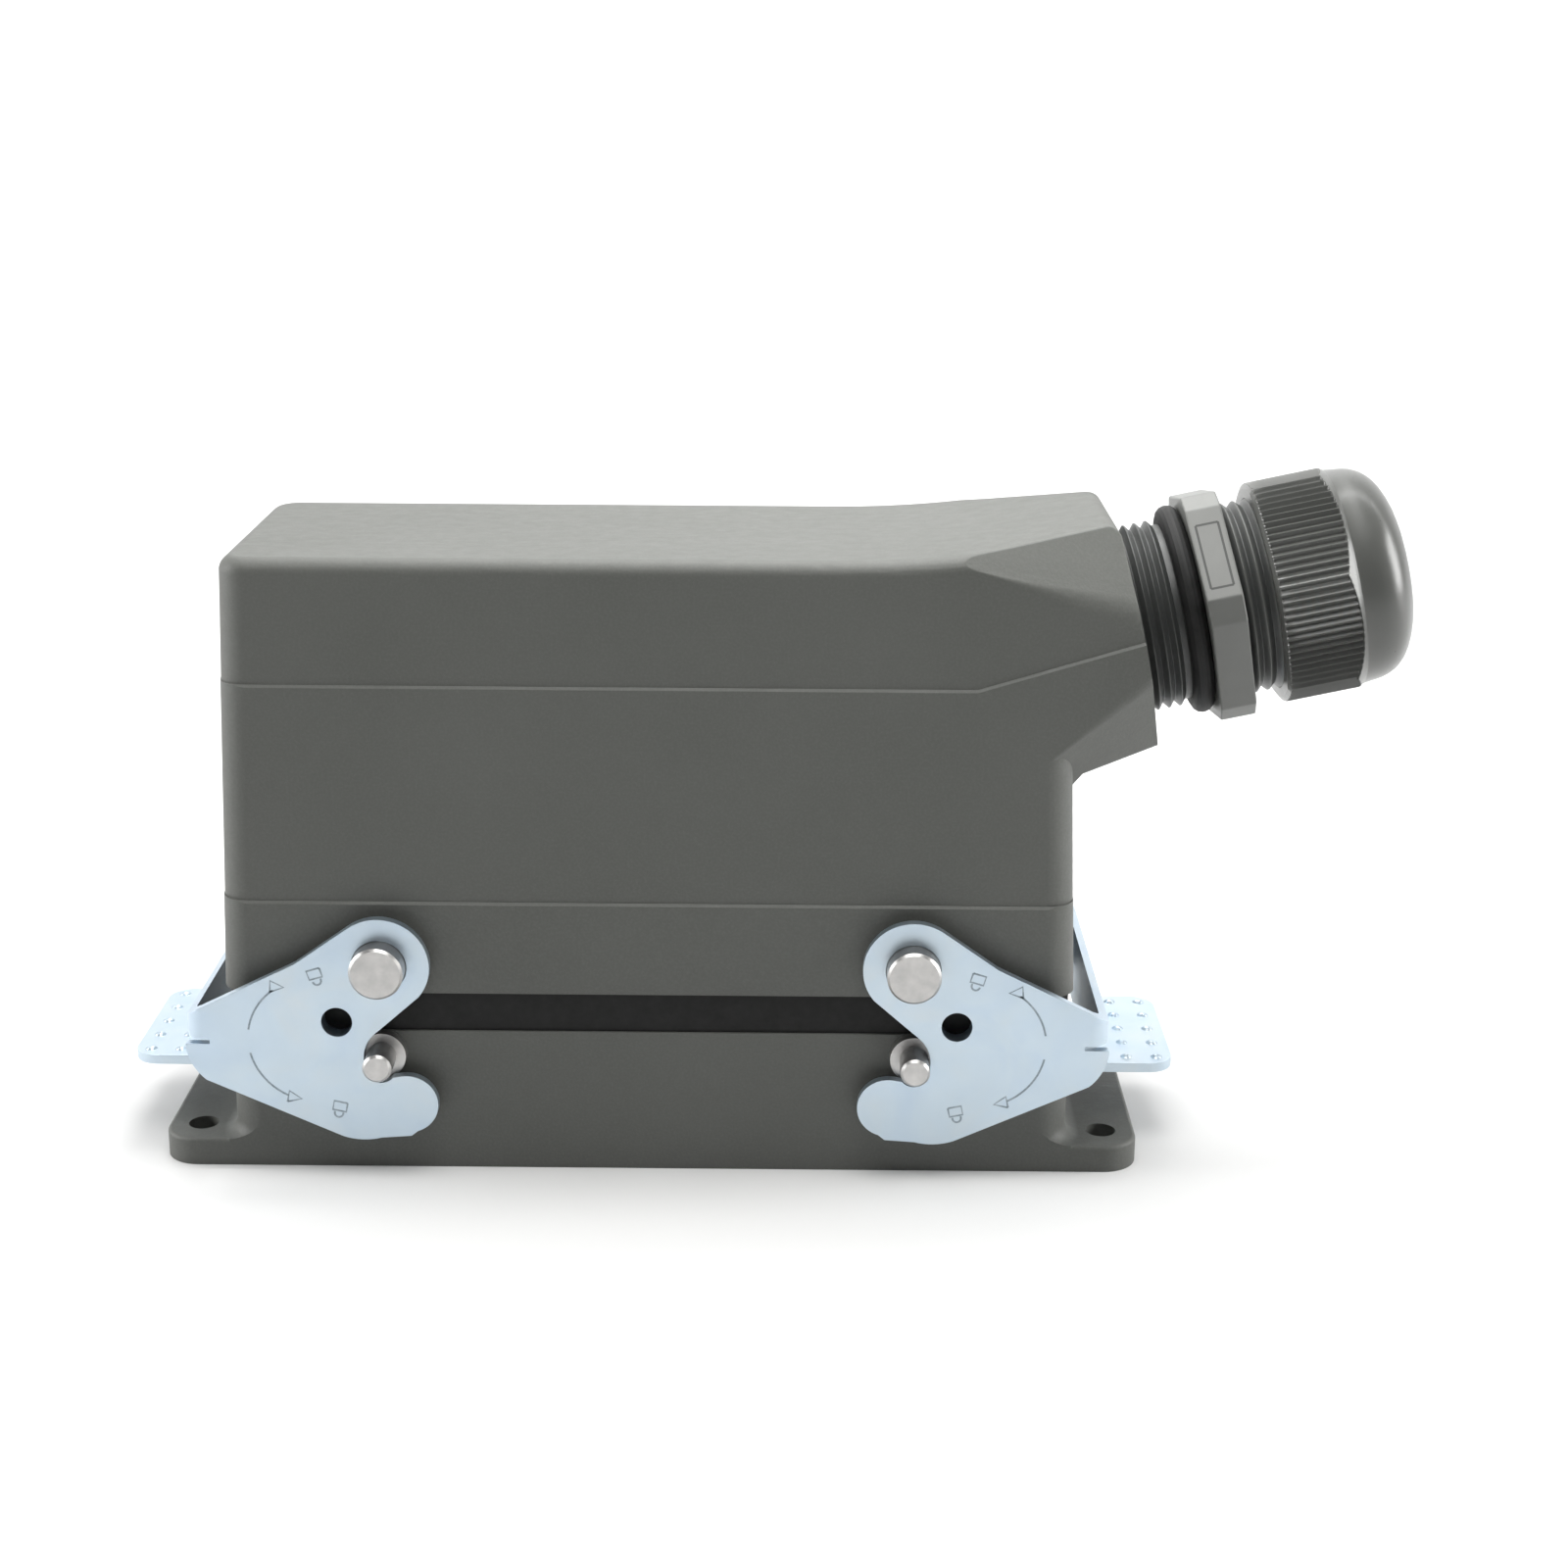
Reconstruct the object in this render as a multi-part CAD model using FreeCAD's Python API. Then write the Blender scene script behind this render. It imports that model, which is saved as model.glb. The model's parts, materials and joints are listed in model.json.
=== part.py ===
import FreeCAD, Part
import math
import os

from FreeCAD import Vector

# Rectangular industrial connector, mated: a flanged bulkhead housing below, a hood with an
# angled side cable entry above, a pair of U-shaped locking levers and a plastic cable gland.
# Millimetres. X runs along the connector towards the cable, Y to the back, Z up.
# The origin is the centre of the flange's underside, which sits on the panel.

# ---------------------------------------------------------------- driving dimensions
FLANGE_LENGTH = 140.0
FLANGE_WIDTH = 43.0
FLANGE_THICKNESS = 4.0
FLANGE_CORNER = 5.0
FIXING_SPACING_X = 130.0
FIXING_SPACING_Y = 32.0
FIXING_HOLE_R = 2.15
FLANGE_EDGE_R = 0.6

HOUSING_LENGTH = 119.4
HOUSING_CORNER = 4.5
SHOULDER_Z = 21.0            # top of the housing wall, where the rim seal sits
FOOT_COVE_R = 2.2            # cove between the end walls and the flange
COLLAR_LENGTH = 114.8
COLLAR_WIDTH = 37.6
COLLAR_CORNER = 3.0
COLLAR_TOP_Z = 29.0
SHELL_OPENING_LENGTH = 111.6
SHELL_OPENING_WIDTH = 34.6
SHELL_OPENING_CORNER = 2.0

HOOD_LENGTH = 120.0
HOOD_WIDTH = 43.3
HOOD_BOTTOM_Z = 26.8
HOOD_TOP_Z = 88.4
HOOD_CORNER = 4.2
HOOD_TOP_EDGE_R = 2.2
END_LEAN = 0.0422            # both end walls lean in by their casting draft
RIM_LEDGE_Z = 40.3           # the thick rim ends in a fine ledge here
PARTING_Z = 71.2             # the upper band starts at a second fine ledge
PARTING_BEND_X = 45.0
PARTING_SLOPE = 0.305
PANEL_INSET = 0.45           # the long faces step in at the rim ledge
BAND_INSET = 0.85            # and again above the parting ledge
LEDGE_SLOPE = 0.35           # both ledges slope down and outwards by this much
LEDGE_SLOPE_RISE = 0.04      # the slope's cut starts this far above the ledge
HOOD_WALL = 3.0
HOOD_RIM_CLEARANCE = 0.3
HOOD_POCKET_TOP_Z = 32.0
HOOD_POST_TOP_Z = 57.0

# The cable boss: its axis leaves the hood's right end at a shallow angle.
ENTRY_TILT = 12.3            # degrees above +X
ENTRY_CENTRE = Vector(67.7, 0.0, 76.0)
BOSS_UP = 16.75              # from the axis to the boss's top edge, along its end face
BOSS_DOWN = 15.5
BOSS_ROOT_CHAMFER = 1.2
BOSS_ROOT_Z = 57.4           # where the boss's underside meets the end wall
BOSS_BEVEL_ROOT_Z = 60.6     # where the lower bevels begin on the front and back faces
BOSS_FLAT_HALF = 12.0        # half-width of the flat between the boss's bevels
BOSS_SIDE_UP = 5.7           # the upright side between the bevels, along the end face
BOSS_SIDE_DOWN = 3.5
TOP_RAMP_X = 38.0            # the top starts to climb to the boss here
TOP_RAMP_EASE = 12.0
BEVEL_START_X = 40.0
BEVEL_EDGE_R = 1.5           # along the boss's top and underside
BEVEL_BLEND_R = 7.0          # into the upright sides, at the boss's end face
BEVEL_LOW_BLEND_R = 3.0
BEVEL_BLEND_START_R = 0.5    # where a bevel begins on the hood
ENTRY_BORE_R = 13.4
ENTRY_BORE_START = -16.0

# Levers, studs and pegs
PIVOT_X = 37.0
PIVOT_Z = 32.0
STUD_R = 3.75
STUD_SHOULDER_R = 4.8
STUD_SHOULDER_Y = 23.3
STUD_SHANK_R = 2.5
STUD_TIP_Y = 28.0
STUD_TIP_CHAMFER = 0.35
PIVOT_CLEARANCE = 0.08
PEG_X = 37.4
PEG_Z = 17.9
PEG_R = 2.05
PEG_COLLAR_R = 3.35
PEG_COLLAR_Y = 23.2
PEG_SHANK_R = 1.8
RIVET_PLAY = 0.03
LEVER_OUTER_Y = 25.0
LEVER_SHEET = 1.4
LEVER_CROSSBAR_REACH = 27.5  # from the pivot out to the crossbar's face
LEVER_BEND_R = 2.6
LEVER_SLIT_Z = 20.6
LEVER_SLIT_HEIGHT = 0.6
LEVER_SLIT_LENGTH = 3.4
TAB_HALF_WIDTH = 12.8
TAB_TOP_Z = 13.1
TAB_REACH = 38.7             # from the pivot out to the thumb tab's edge
TAB_CORNER = 3.6
TAB_BEND_R = 1.1
DIMPLE_R = 0.85
DIMPLE_HEIGHT = 0.45
DIMPLE_REACHES = (32.0, 36.4)
DIMPLE_PITCH = 5.2
LEVER_EYE = (6.2, -8.3)      # small flanged hole, from the pivot
LEVER_EYE_R = 2.15
LEVER_EYE_WALL = 0.8
LEVER_EYE_DEPTH = 1.3

# Seals
RIM_SEAL_LENGTH = 118.7
RIM_SEAL_WIDTH = 42.1
RIM_SEAL_CORNER = 4.0
GASKET_DEPTH = 1.2
GASKET_BAND = 1.8
GASKET_CORNER = 3.6
GASKET_REACH = 2.8           # from the shell opening out to the gasket's outer edge
GASKET_PLAY = 0.05

# Contact inserts
INSERT_SCREW_X = 52.0
INSERT_SCREW_Y = 13.5
POST_SIZE = 3.4
HOUSING_POST_LOW_Z = 2.0
PLATE_LENGTH = 110.8
PLATE_WIDTH = 33.8
PLATE_CORNER = 1.6
PLATE_THICKNESS = 4.0
FEMALE_PLATE_Z = 9.0
MALE_PLATE_Z = 44.0
CONTACT_COUNT = 12
CONTACT_PITCH = 7.0
CONTACT_ROW_Y = 5.6
FEMALE_BODY = (88.0, 20.0)
SHROUD_INNER = (88.8, 20.8)
SHROUD_OUTER = (93.0, 25.0)
FEMALE_TOP_Z = 36.0
SHROUD_BOTTOM_Z = 15.5
SHROUD_CORNER = 2.0
FEMALE_BODY_CORNER = 1.4
TERMINAL_BLOCK_CORNER = 1.0
TERMINAL_BLOCK = (90.0, 24.0)
TERMINAL_HEIGHT = 8.4
PIN_R = 1.25
PIN_HOLE_R = 1.3
SCREW_R = 1.45
SCREW_HEAD_R = 2.9
SCREW_HEAD_HEIGHT = 2.2
SCREW_PLAY = 0.05
RECESS_ARM = 0.6             # of the head's radius
RECESS_FLOOR = 0.45          # of the head's height
RECESS_HALF_WIDTH = 0.35
WASHER_THICKNESS = 0.6
TERMINAL_SCREW_R = 1.6
TERMINAL_DEPTH = 3.6
TERMINAL_SINK = 0.4
TERMINAL_SLOT_DEPTH = 0.8
TERMINAL_SLOT_HALF = 0.3
FEMALE_TERMINAL_Z = 5.0
MALE_TERMINAL_Z = 52.0
SOCKET_R = 2.2
SOCKET_LOW_Z = 3.0
SOCKET_HIGH_Z = 34.0
WIRE_HOLE = 1.5
PIN_TIP_Z = 20.0
PIN_SHOULDER_Z = 46.0
PIN_TOP_Z = 54.0
SCREW_LENGTH = 10.0
EARTH_SHEET = 1.2
EARTH_HALF_WIDTH = 4.0
EARTH_FOOT_X = 55.0
EARTH_BLADE = 17.0
FEMALE_EARTH_X = 46.7
MALE_EARTH_X = 48.3
EARTH_SCREW_X = 52.6
EARTH_SCREW_R = 1.45
EARTH_SCREW_HEAD_R = 2.3
EARTH_SCREW_LENGTH = 4.6

# Cable gland, stations measured along its axis from the boss's end face
THREAD_R = 13.35
THREAD_ROOT_R = 12.55
THREAD_PITCH = 1.5875
THREAD_START = -7.0
THREAD_CREST = (0.38, 0.50, 0.88)    # crest begins, crest ends, root begins; of the pitch
RING_START = 6.3
HEX_START = 9.4
HEX_END = 14.4
HEX_ACROSS_FLATS = 31.6
HEX_CORNER_CUT_R = 17.3
HEX_TURN = 10.0              # degrees that a corner stands above the level front
RING_OUTER_R = 14.9
RING_SIDE_PLAY = 0.1
RING_SOFTNESS = ((1.3, 0.0), (0.75, 0.16), (0.3, 0.55), (0.0, 1.25))
NECK_R = 13.6
NECK_ROOT_R = 12.9
NECK_END = 24.9
NUT_START = 19.0
NUT_END = 38.25
NUT_FLAT_R = 15.75           # to the middle of the barrel's six gently bowed sides
NUT_CORNER_R = 16.65
NUT_CORNER_SOFTNESS = 0.16
NUT_TURN = 15.0              # degrees that a corner of the barrel stands above the level front
NUT_LEAD = (0.4, 0.8)
NUT_DOME = [(28.6, 16.74), (29.9, 15.69), (30.3, 15.42), (30.7, 15.33), (31.6, 15.2), (33.2, 15.0),
            (34.5, 14.55), (35.7, 13.75), (36.6, 12.75), (37.3, 11.55), (37.8, 10.4), (38.1, 9.5)]
NUT_BORE_R = 13.68
CABLE_BORE_R = 9.3
CABLE_MOUTH_R = 9.0
GROMMET_BORE_R = 8.5
GROMMET_R = 11.0
GROMMET_SEAT = 21.0
GROMMET_START = 25.0
GROMMET_END = 34.8
GROMMET_LEAD = (1.0, 0.8)
CLAW_BORE_R = 11.35
CLAW_OUTER_R = 12.5
CLAW_RING_END = 26.5
CLAW_END = 30.6
CLAW_COUNT = 12
CLAW_GAP = 1.0
CLAW_TIP = (1.0, 0.6)        # chamfer at the finger tips, along and across
NECK_PITCH = 1.75
NECK_RELIEF = 0.4
NUT_THREAD_END = 28.4
NUT_INNER_R = 13.0
NUT_CONE_START = 33.9
NUT_MOUTH_DEPTH = 2.0
NUT_STEP = 0.5

HALF_CIRCLE = 180.0
OVERCUT = 1.0
WIDE = 200.0

UP = Vector(0, 0, 1)
TILT = math.radians(ENTRY_TILT)
ENTRY_AXIS = Vector(math.cos(TILT), 0, math.sin(TILT))
ENTRY_UP = Vector(-math.sin(TILT), 0, math.cos(TILT))
PIVOT_WALL_Y = HOOD_WIDTH / 2
PEG_WALL_Y = FLANGE_WIDTH / 2
LEVER_INNER_Y = LEVER_OUTER_Y - LEVER_SHEET
LEVER_PIVOT_HOLE_R = STUD_R + PIVOT_CLEARANCE
SIDES = (("left", -1), ("right", 1))
FACES = (("front", -1), ("back", 1))


# ---------------------------------------------------------------- shape helpers
def box(x_low, x_high, y_low, y_high, z_low, z_high):
    corner = Vector(x_low, y_low, z_low)
    return Part.makeBox(x_high - x_low, y_high - y_low, z_high - z_low, corner)


def centred_box(length, width, z_low, z_high, x=0.0):
    return box(x - length / 2, x + length / 2, -width / 2, width / 2, z_low, z_high)


def upright_edges(shape):
    """Edges that climb, straight or leaning, from one height to another."""
    return [edge for edge in shape.Edges
            if len(edge.Vertexes) == 2
            and abs(edge.Vertexes[0].Point.y - edge.Vertexes[1].Point.y) < 1e-6
            and abs(edge.Vertexes[0].Point.z - edge.Vertexes[1].Point.z) > 1.0]


def rounded_plate(length, width, radius, z_low, z_high):
    """Prism with a rounded rectangular plan, centred on the Z axis."""
    block = centred_box(length, width, z_low, z_high)
    return block.makeFillet(radius, upright_edges(block))


def upright_cylinder(x, y, radius, z_low, z_high):
    return Part.makeCylinder(radius, z_high - z_low, Vector(x, y, z_low), UP)


def cross_cylinder(x, z, radius, y_low, y_high):
    """Cylinder along Y."""
    return Part.makeCylinder(radius, y_high - y_low, Vector(x, y_low, z), Vector(0, 1, 0))


def profile_prism(edges, y_low, y_high):
    """Extrude a closed outline, drawn in the XZ plane, along Y."""
    face = Part.Face(Part.Wire(edges))
    face.translate(Vector(0, y_low, 0))
    return face.extrude(Vector(0, y_high - y_low, 0))


def trace(start, steps):
    """Edges of a closed XZ outline; a step is (end,) for a line or (via, end) for an arc."""
    edges = []
    here = start
    for step in steps + [(start,)]:
        points = [Vector(x, 0, z) for x, z in (here,) + step]
        if (points[-1] - points[0]).Length > 1e-6:
            if len(points) == 2:
                edges.append(Part.LineSegment(*points).toShape())
            else:
                edges.append(Part.Arc(*points).toShape())
        here = step[-1]
    return edges


def polygon_prism(points, y_low, y_high):
    return profile_prism(trace(points[0], [(p,) for p in points[1:]]), y_low, y_high)


def fused(shapes):
    whole = shapes[0]
    if len(shapes) > 1:
        whole = whole.fuse(shapes[1:])
    return whole.removeSplitter()


def mirrored_x(shape):
    return shape.mirror(Vector(0, 0, 0), Vector(1, 0, 0))


def on_entry_axis(station):
    return ENTRY_CENTRE + ENTRY_AXIS * station


def entry_point(station, rise):
    point = on_entry_axis(station) + ENTRY_UP * rise
    return (point.x, point.z)


def entry_cylinder(radius, low, high):
    """Cylinder on the cable-entry axis between two stations."""
    return Part.makeCylinder(radius, high - low, on_entry_axis(low), ENTRY_AXIS)


def entry_turned(profile):
    """Solid of revolution on the cable-entry axis from (station, radius) points."""
    points = []
    for station, radius in profile:
        x, z = entry_point(station, radius)
        points.append(Vector(x, 0, z))
    face = Part.Face(Part.makePolygon(points + [points[0]]))
    return face.revolve(ENTRY_CENTRE, ENTRY_AXIS, 2 * HALF_CIRCLE)


def corner_places(x, y):
    return [(sx * x, sy * y) for sx in (-1, 1) for sy in (-1, 1)]


def contact_places():
    first = -(CONTACT_COUNT - 1) * CONTACT_PITCH / 2
    return [(first + i * CONTACT_PITCH, side * CONTACT_ROW_Y)
            for i in range(CONTACT_COUNT) for side in (-1, 1)]


# ---------------------------------------------------------------- bulkhead housing
def end_wall_cove(side):
    """Concave foot where one end wall meets the flange, carried round both corners."""
    wall_x = HOUSING_LENGTH / 2
    base_z = FLANGE_THICKNESS
    centre_x = wall_x - HOUSING_CORNER
    bow = FOOT_COVE_R * (1 - math.sqrt(0.5))
    outline = trace((centre_x, base_z - OVERCUT), [
        ((wall_x + FOOT_COVE_R, base_z - OVERCUT),),
        ((wall_x + FOOT_COVE_R, base_z),),
        ((wall_x + bow, base_z + bow), (wall_x, base_z + FOOT_COVE_R)),
        ((centre_x, base_z + FOOT_COVE_R),)])
    straight_half = FLANGE_WIDTH / 2 - HOUSING_CORNER
    pieces = [profile_prism(outline, -straight_half, straight_half)]
    for turn in (-1, 1):
        face = Part.Face(Part.Wire(outline))
        quarter = face.revolve(Vector(centre_x, 0, 0), UP, turn * HALF_CIRCLE / 2)
        quarter.translate(Vector(0, turn * straight_half, 0))
        pieces.append(quarter)
    cove = fused(pieces).common(box(0, WIDE, -FLANGE_WIDTH / 2, FLANGE_WIDTH / 2, 0, WIDE))
    return cove if side > 0 else mirrored_x(cove)


def gasket_ring(play, depth):
    """The flange gasket, or with no play its groove."""
    outer_length = SHELL_OPENING_LENGTH + 2 * GASKET_REACH
    outer_width = SHELL_OPENING_WIDTH + 2 * GASKET_REACH
    outer = rounded_plate(outer_length - play, outer_width - play, GASKET_CORNER, 0, depth)
    inner = rounded_plate(outer_length - 2 * GASKET_BAND + play,
                          outer_width - 2 * GASKET_BAND + play,
                          GASKET_CORNER - GASKET_BAND, -OVERCUT, depth + OVERCUT)
    return outer.cut(inner)


def insert_posts(z_low, z_high):
    """Square corner posts, running out to the shell wall, that take the insert screws."""
    posts = []
    for x, y in corner_places(INSERT_SCREW_X, INSERT_SCREW_Y):
        far_x = math.copysign(SHELL_OPENING_LENGTH / 2 + OVERCUT, x)
        far_y = math.copysign(SHELL_OPENING_WIDTH / 2 + OVERCUT, y)
        near_x = x - math.copysign(POST_SIZE, x)
        near_y = y - math.copysign(POST_SIZE, y)
        posts.append(box(min(near_x, far_x), max(near_x, far_x),
                         min(near_y, far_y), max(near_y, far_y), z_low, z_high))
    return posts


def post_holes(z_low, z_high):
    return [upright_cylinder(x, y, SCREW_R + SCREW_PLAY, z_low, z_high)
            for x, y in corner_places(INSERT_SCREW_X, INSERT_SCREW_Y)]


def base_housing():
    flange = rounded_plate(FLANGE_LENGTH, FLANGE_WIDTH, FLANGE_CORNER, 0, FLANGE_THICKNESS)
    rim_edges = [edge for edge in flange.Edges
                 if abs(edge.BoundBox.ZMin - FLANGE_THICKNESS) < 1e-6
                 and abs(edge.BoundBox.ZMax - FLANGE_THICKNESS) < 1e-6
                 and edge.BoundBox.XLength < FLANGE_LENGTH / 2]
    flange = flange.makeFillet(FLANGE_EDGE_R, rim_edges)
    walls = rounded_plate(HOUSING_LENGTH, FLANGE_WIDTH, HOUSING_CORNER, 0, SHOULDER_Z)
    collar = rounded_plate(COLLAR_LENGTH, COLLAR_WIDTH, COLLAR_CORNER,
                           SHOULDER_Z - OVERCUT, COLLAR_TOP_Z)
    body = fused([flange, walls, collar, end_wall_cove(-1), end_wall_cove(1)])
    body = body.cut(rounded_plate(SHELL_OPENING_LENGTH, SHELL_OPENING_WIDTH,
                                  SHELL_OPENING_CORNER, -OVERCUT, COLLAR_TOP_Z + OVERCUT))
    body = fused([body] + insert_posts(HOUSING_POST_LOW_Z, FEMALE_PLATE_Z))
    body = body.cut(post_holes(HOUSING_POST_LOW_Z - OVERCUT, FEMALE_PLATE_Z + OVERCUT))
    body = body.cut([upright_cylinder(x, y, FIXING_HOLE_R, -OVERCUT, FLANGE_THICKNESS + OVERCUT)
                     for x, y in corner_places(FIXING_SPACING_X / 2, FIXING_SPACING_Y / 2)])
    body = body.cut(gasket_ring(0, GASKET_DEPTH))
    inner_wall_y = SHELL_OPENING_WIDTH / 2 - OVERCUT
    pegs = []
    for _, side in SIDES:
        for _, face in FACES:
            ends = sorted((face * inner_wall_y, face * WIDE / 4))
            pegs.append(cross_cylinder(side * PEG_X, PEG_Z, PEG_SHANK_R + RIVET_PLAY, *ends))
    return body.cut(pegs)


def flange_gasket():
    return gasket_ring(2 * GASKET_PLAY, GASKET_DEPTH)


def rim_seal():
    """Rubber ring on the housing shoulder; the hood's rim presses on its top."""
    outer = rounded_plate(RIM_SEAL_LENGTH, RIM_SEAL_WIDTH, RIM_SEAL_CORNER,
                          SHOULDER_Z, HOOD_BOTTOM_Z)
    inner = rounded_plate(COLLAR_LENGTH, COLLAR_WIDTH, COLLAR_CORNER,
                          SHOULDER_Z - OVERCUT, HOOD_BOTTOM_Z + OVERCUT)
    return outer.cut(inner)


def shouldered_stud(x, z, face, shank_r, wall_inner_y, wall_y, shoulder_r, shoulder_y, head_r):
    """Riveted stud along Y: shank in the wall, a shoulder, then the part the lever works on."""
    head = cross_cylinder(x, z, head_r, shoulder_y - OVERCUT, STUD_TIP_Y)
    tip_edge = [edge for edge in head.Edges
                if abs(edge.BoundBox.YMin - STUD_TIP_Y) < 1e-6
                and abs(edge.BoundBox.YMax - STUD_TIP_Y) < 1e-6]
    head = head.makeChamfer(STUD_TIP_CHAMFER, tip_edge)
    stud = fused([cross_cylinder(x, z, shank_r, wall_inner_y, wall_y + OVERCUT),
                  cross_cylinder(x, z, shoulder_r, wall_y, shoulder_y), head])
    return stud if face > 0 else stud.mirror(Vector(0, 0, 0), Vector(0, 1, 0))


def pivot_stud(side, face):
    return shouldered_stud(side * PIVOT_X, PIVOT_Z, face, STUD_SHANK_R,
                           HOOD_WIDTH / 2 - HOOD_WALL + PANEL_INSET, PIVOT_WALL_Y,
                           STUD_SHOULDER_R, STUD_SHOULDER_Y, STUD_R)


def locking_peg(side, face):
    return shouldered_stud(side * PEG_X, PEG_Z, face, PEG_SHANK_R,
                           SHELL_OPENING_WIDTH / 2, PEG_WALL_Y,
                           PEG_COLLAR_R, PEG_COLLAR_Y, PEG_R)


# ---------------------------------------------------------------- hood
def hood_silhouette():
    """Side outline of the hood with its cable boss."""
    lean = END_LEAN * (HOOD_TOP_Z - HOOD_BOTTOM_Z)
    right_x = HOOD_LENGTH / 2
    root_x = right_x - END_LEAN * (BOSS_ROOT_Z - HOOD_BOTTOM_Z)
    boss_top = entry_point(0, BOSS_UP)
    boss_bottom = entry_point(0, -BOSS_DOWN)
    under_slope = (boss_bottom[1] - BOSS_ROOT_Z) / (boss_bottom[0] - root_x)
    climb = math.atan2(boss_top[1] - HOOD_TOP_Z, boss_top[0] - TOP_RAMP_X)
    ease_r = TOP_RAMP_EASE / math.tan(climb / 2)
    ramp_low = (TOP_RAMP_X - TOP_RAMP_EASE, HOOD_TOP_Z)
    ramp_mid = (ramp_low[0] + ease_r * math.sin(climb / 2),
                HOOD_TOP_Z + ease_r * (1 - math.cos(climb / 2)))
    ramp_high = (TOP_RAMP_X + TOP_RAMP_EASE * math.cos(climb),
                 HOOD_TOP_Z + TOP_RAMP_EASE * math.sin(climb))
    return trace((-right_x, HOOD_BOTTOM_Z), [
        ((right_x, HOOD_BOTTOM_Z),),
        ((root_x + END_LEAN * BOSS_ROOT_CHAMFER, BOSS_ROOT_Z - BOSS_ROOT_CHAMFER),),
        ((root_x + BOSS_ROOT_CHAMFER, BOSS_ROOT_Z + BOSS_ROOT_CHAMFER * under_slope),),
        (boss_bottom,),
        (boss_top,),
        (ramp_high,),
        (ramp_mid, ramp_low),
        ((lean - right_x, HOOD_TOP_Z),)])


def hood_body(half_width):
    """The hood without its boss: leaning end walls and rounded corners."""
    low_x = HOOD_LENGTH / 2
    high_x = low_x - END_LEAN * (HOOD_TOP_Z - HOOD_BOTTOM_Z)
    body = polygon_prism([(-low_x, HOOD_BOTTOM_Z), (low_x, HOOD_BOTTOM_Z), (high_x, HOOD_TOP_Z),
                          (-high_x, HOOD_TOP_Z)], -half_width, half_width)
    return body.makeFillet(HOOD_CORNER, upright_edges(body))


def half_space(origin, normal):
    """Large slab on the outer side of a plane."""
    slab = Part.makeBox(WIDE, WIDE, WIDE / 4, Vector(-WIDE / 2, -WIDE / 2, 0))
    slab.Placement = FreeCAD.Placement(origin, FreeCAD.Rotation(UP, normal))
    return slab


def boss_bevels(inset):
    """The upper bevels, which widen towards the boss's end, and the lower ones under it."""
    half_width = HOOD_WIDTH / 2 - inset
    cutters = []
    top = entry_point(0, BOSS_UP)
    side_high = entry_point(0, BOSS_SIDE_UP)
    side_low = entry_point(0, -BOSS_SIDE_DOWN)
    bottom = entry_point(0, -BOSS_DOWN)
    ramp_slope = (top[1] - HOOD_TOP_Z) / (top[0] - TOP_RAMP_X)
    start_z = HOOD_TOP_Z + (BEVEL_START_X - TOP_RAMP_X) * ramp_slope
    corner_x = HOOD_LENGTH / 2 - END_LEAN * (BOSS_BEVEL_ROOT_Z - HOOD_BOTTOM_Z) - HOOD_CORNER
    body = hood_body(half_width)
    for face in (-1, 1):
        start = Vector(BEVEL_START_X, face * half_width, start_z)
        upper = Vector(top[0], face * BOSS_FLAT_HALF, top[1])
        lower = Vector(side_high[0], face * half_width, side_high[1])
        normal = (upper - start).cross(lower - start)
        if normal.z < 0:
            normal = normal * -1
        cutters.append(half_space(start, normal))
        side = Vector(side_low[0], face * half_width, side_low[1])
        under = Vector(bottom[0], face * BOSS_FLAT_HALF, bottom[1])
        root = Vector(corner_x, face * half_width, BOSS_BEVEL_ROOT_Z)
        normal = (under - side).cross(root - side)
        if normal.z > 0:
            normal = normal * -1
        cutters.append(half_space(side, normal).cut(body))
    return cutters


def middle_normal(face):
    u_low, u_high, v_low, v_high = face.ParameterRange
    return face.normalAt((u_low + u_high) / 2, (v_low + v_high) / 2)


def top_edges(block):
    """Edges between the hood's top, or its ramp, and the walls round it."""
    chosen = []
    for edge in block.Edges:
        faces = block.ancestorsOfType(edge, Part.Face)
        facing_up = [face for face in faces if middle_normal(face).z > 0.9]
        if len(facing_up) == 1 and edge.BoundBox.ZMin > HOOD_TOP_Z - 1e-6:
            chosen.append(edge)
    return chosen


def bevel_edges(block, neighbour_y):
    """Long edges where a bevel meets a face whose normal has this share along Y."""
    chosen = []
    for edge in block.Edges:
        faces = block.ancestorsOfType(edge, Part.Face)
        shares = [abs(middle_normal(face).y) for face in faces]
        bevels = [face for face, share in zip(faces, shares)
                  if 0.3 < share < 0.95 and face.Surface.TypeId == "Part::GeomPlane"]
        others = [share for share in shares if abs(share - neighbour_y) < 1e-6]
        if len(bevels) == 1 and len(others) == 1 and edge.BoundBox.XLength > 8.0:
            chosen.append(edge)
    return chosen


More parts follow.
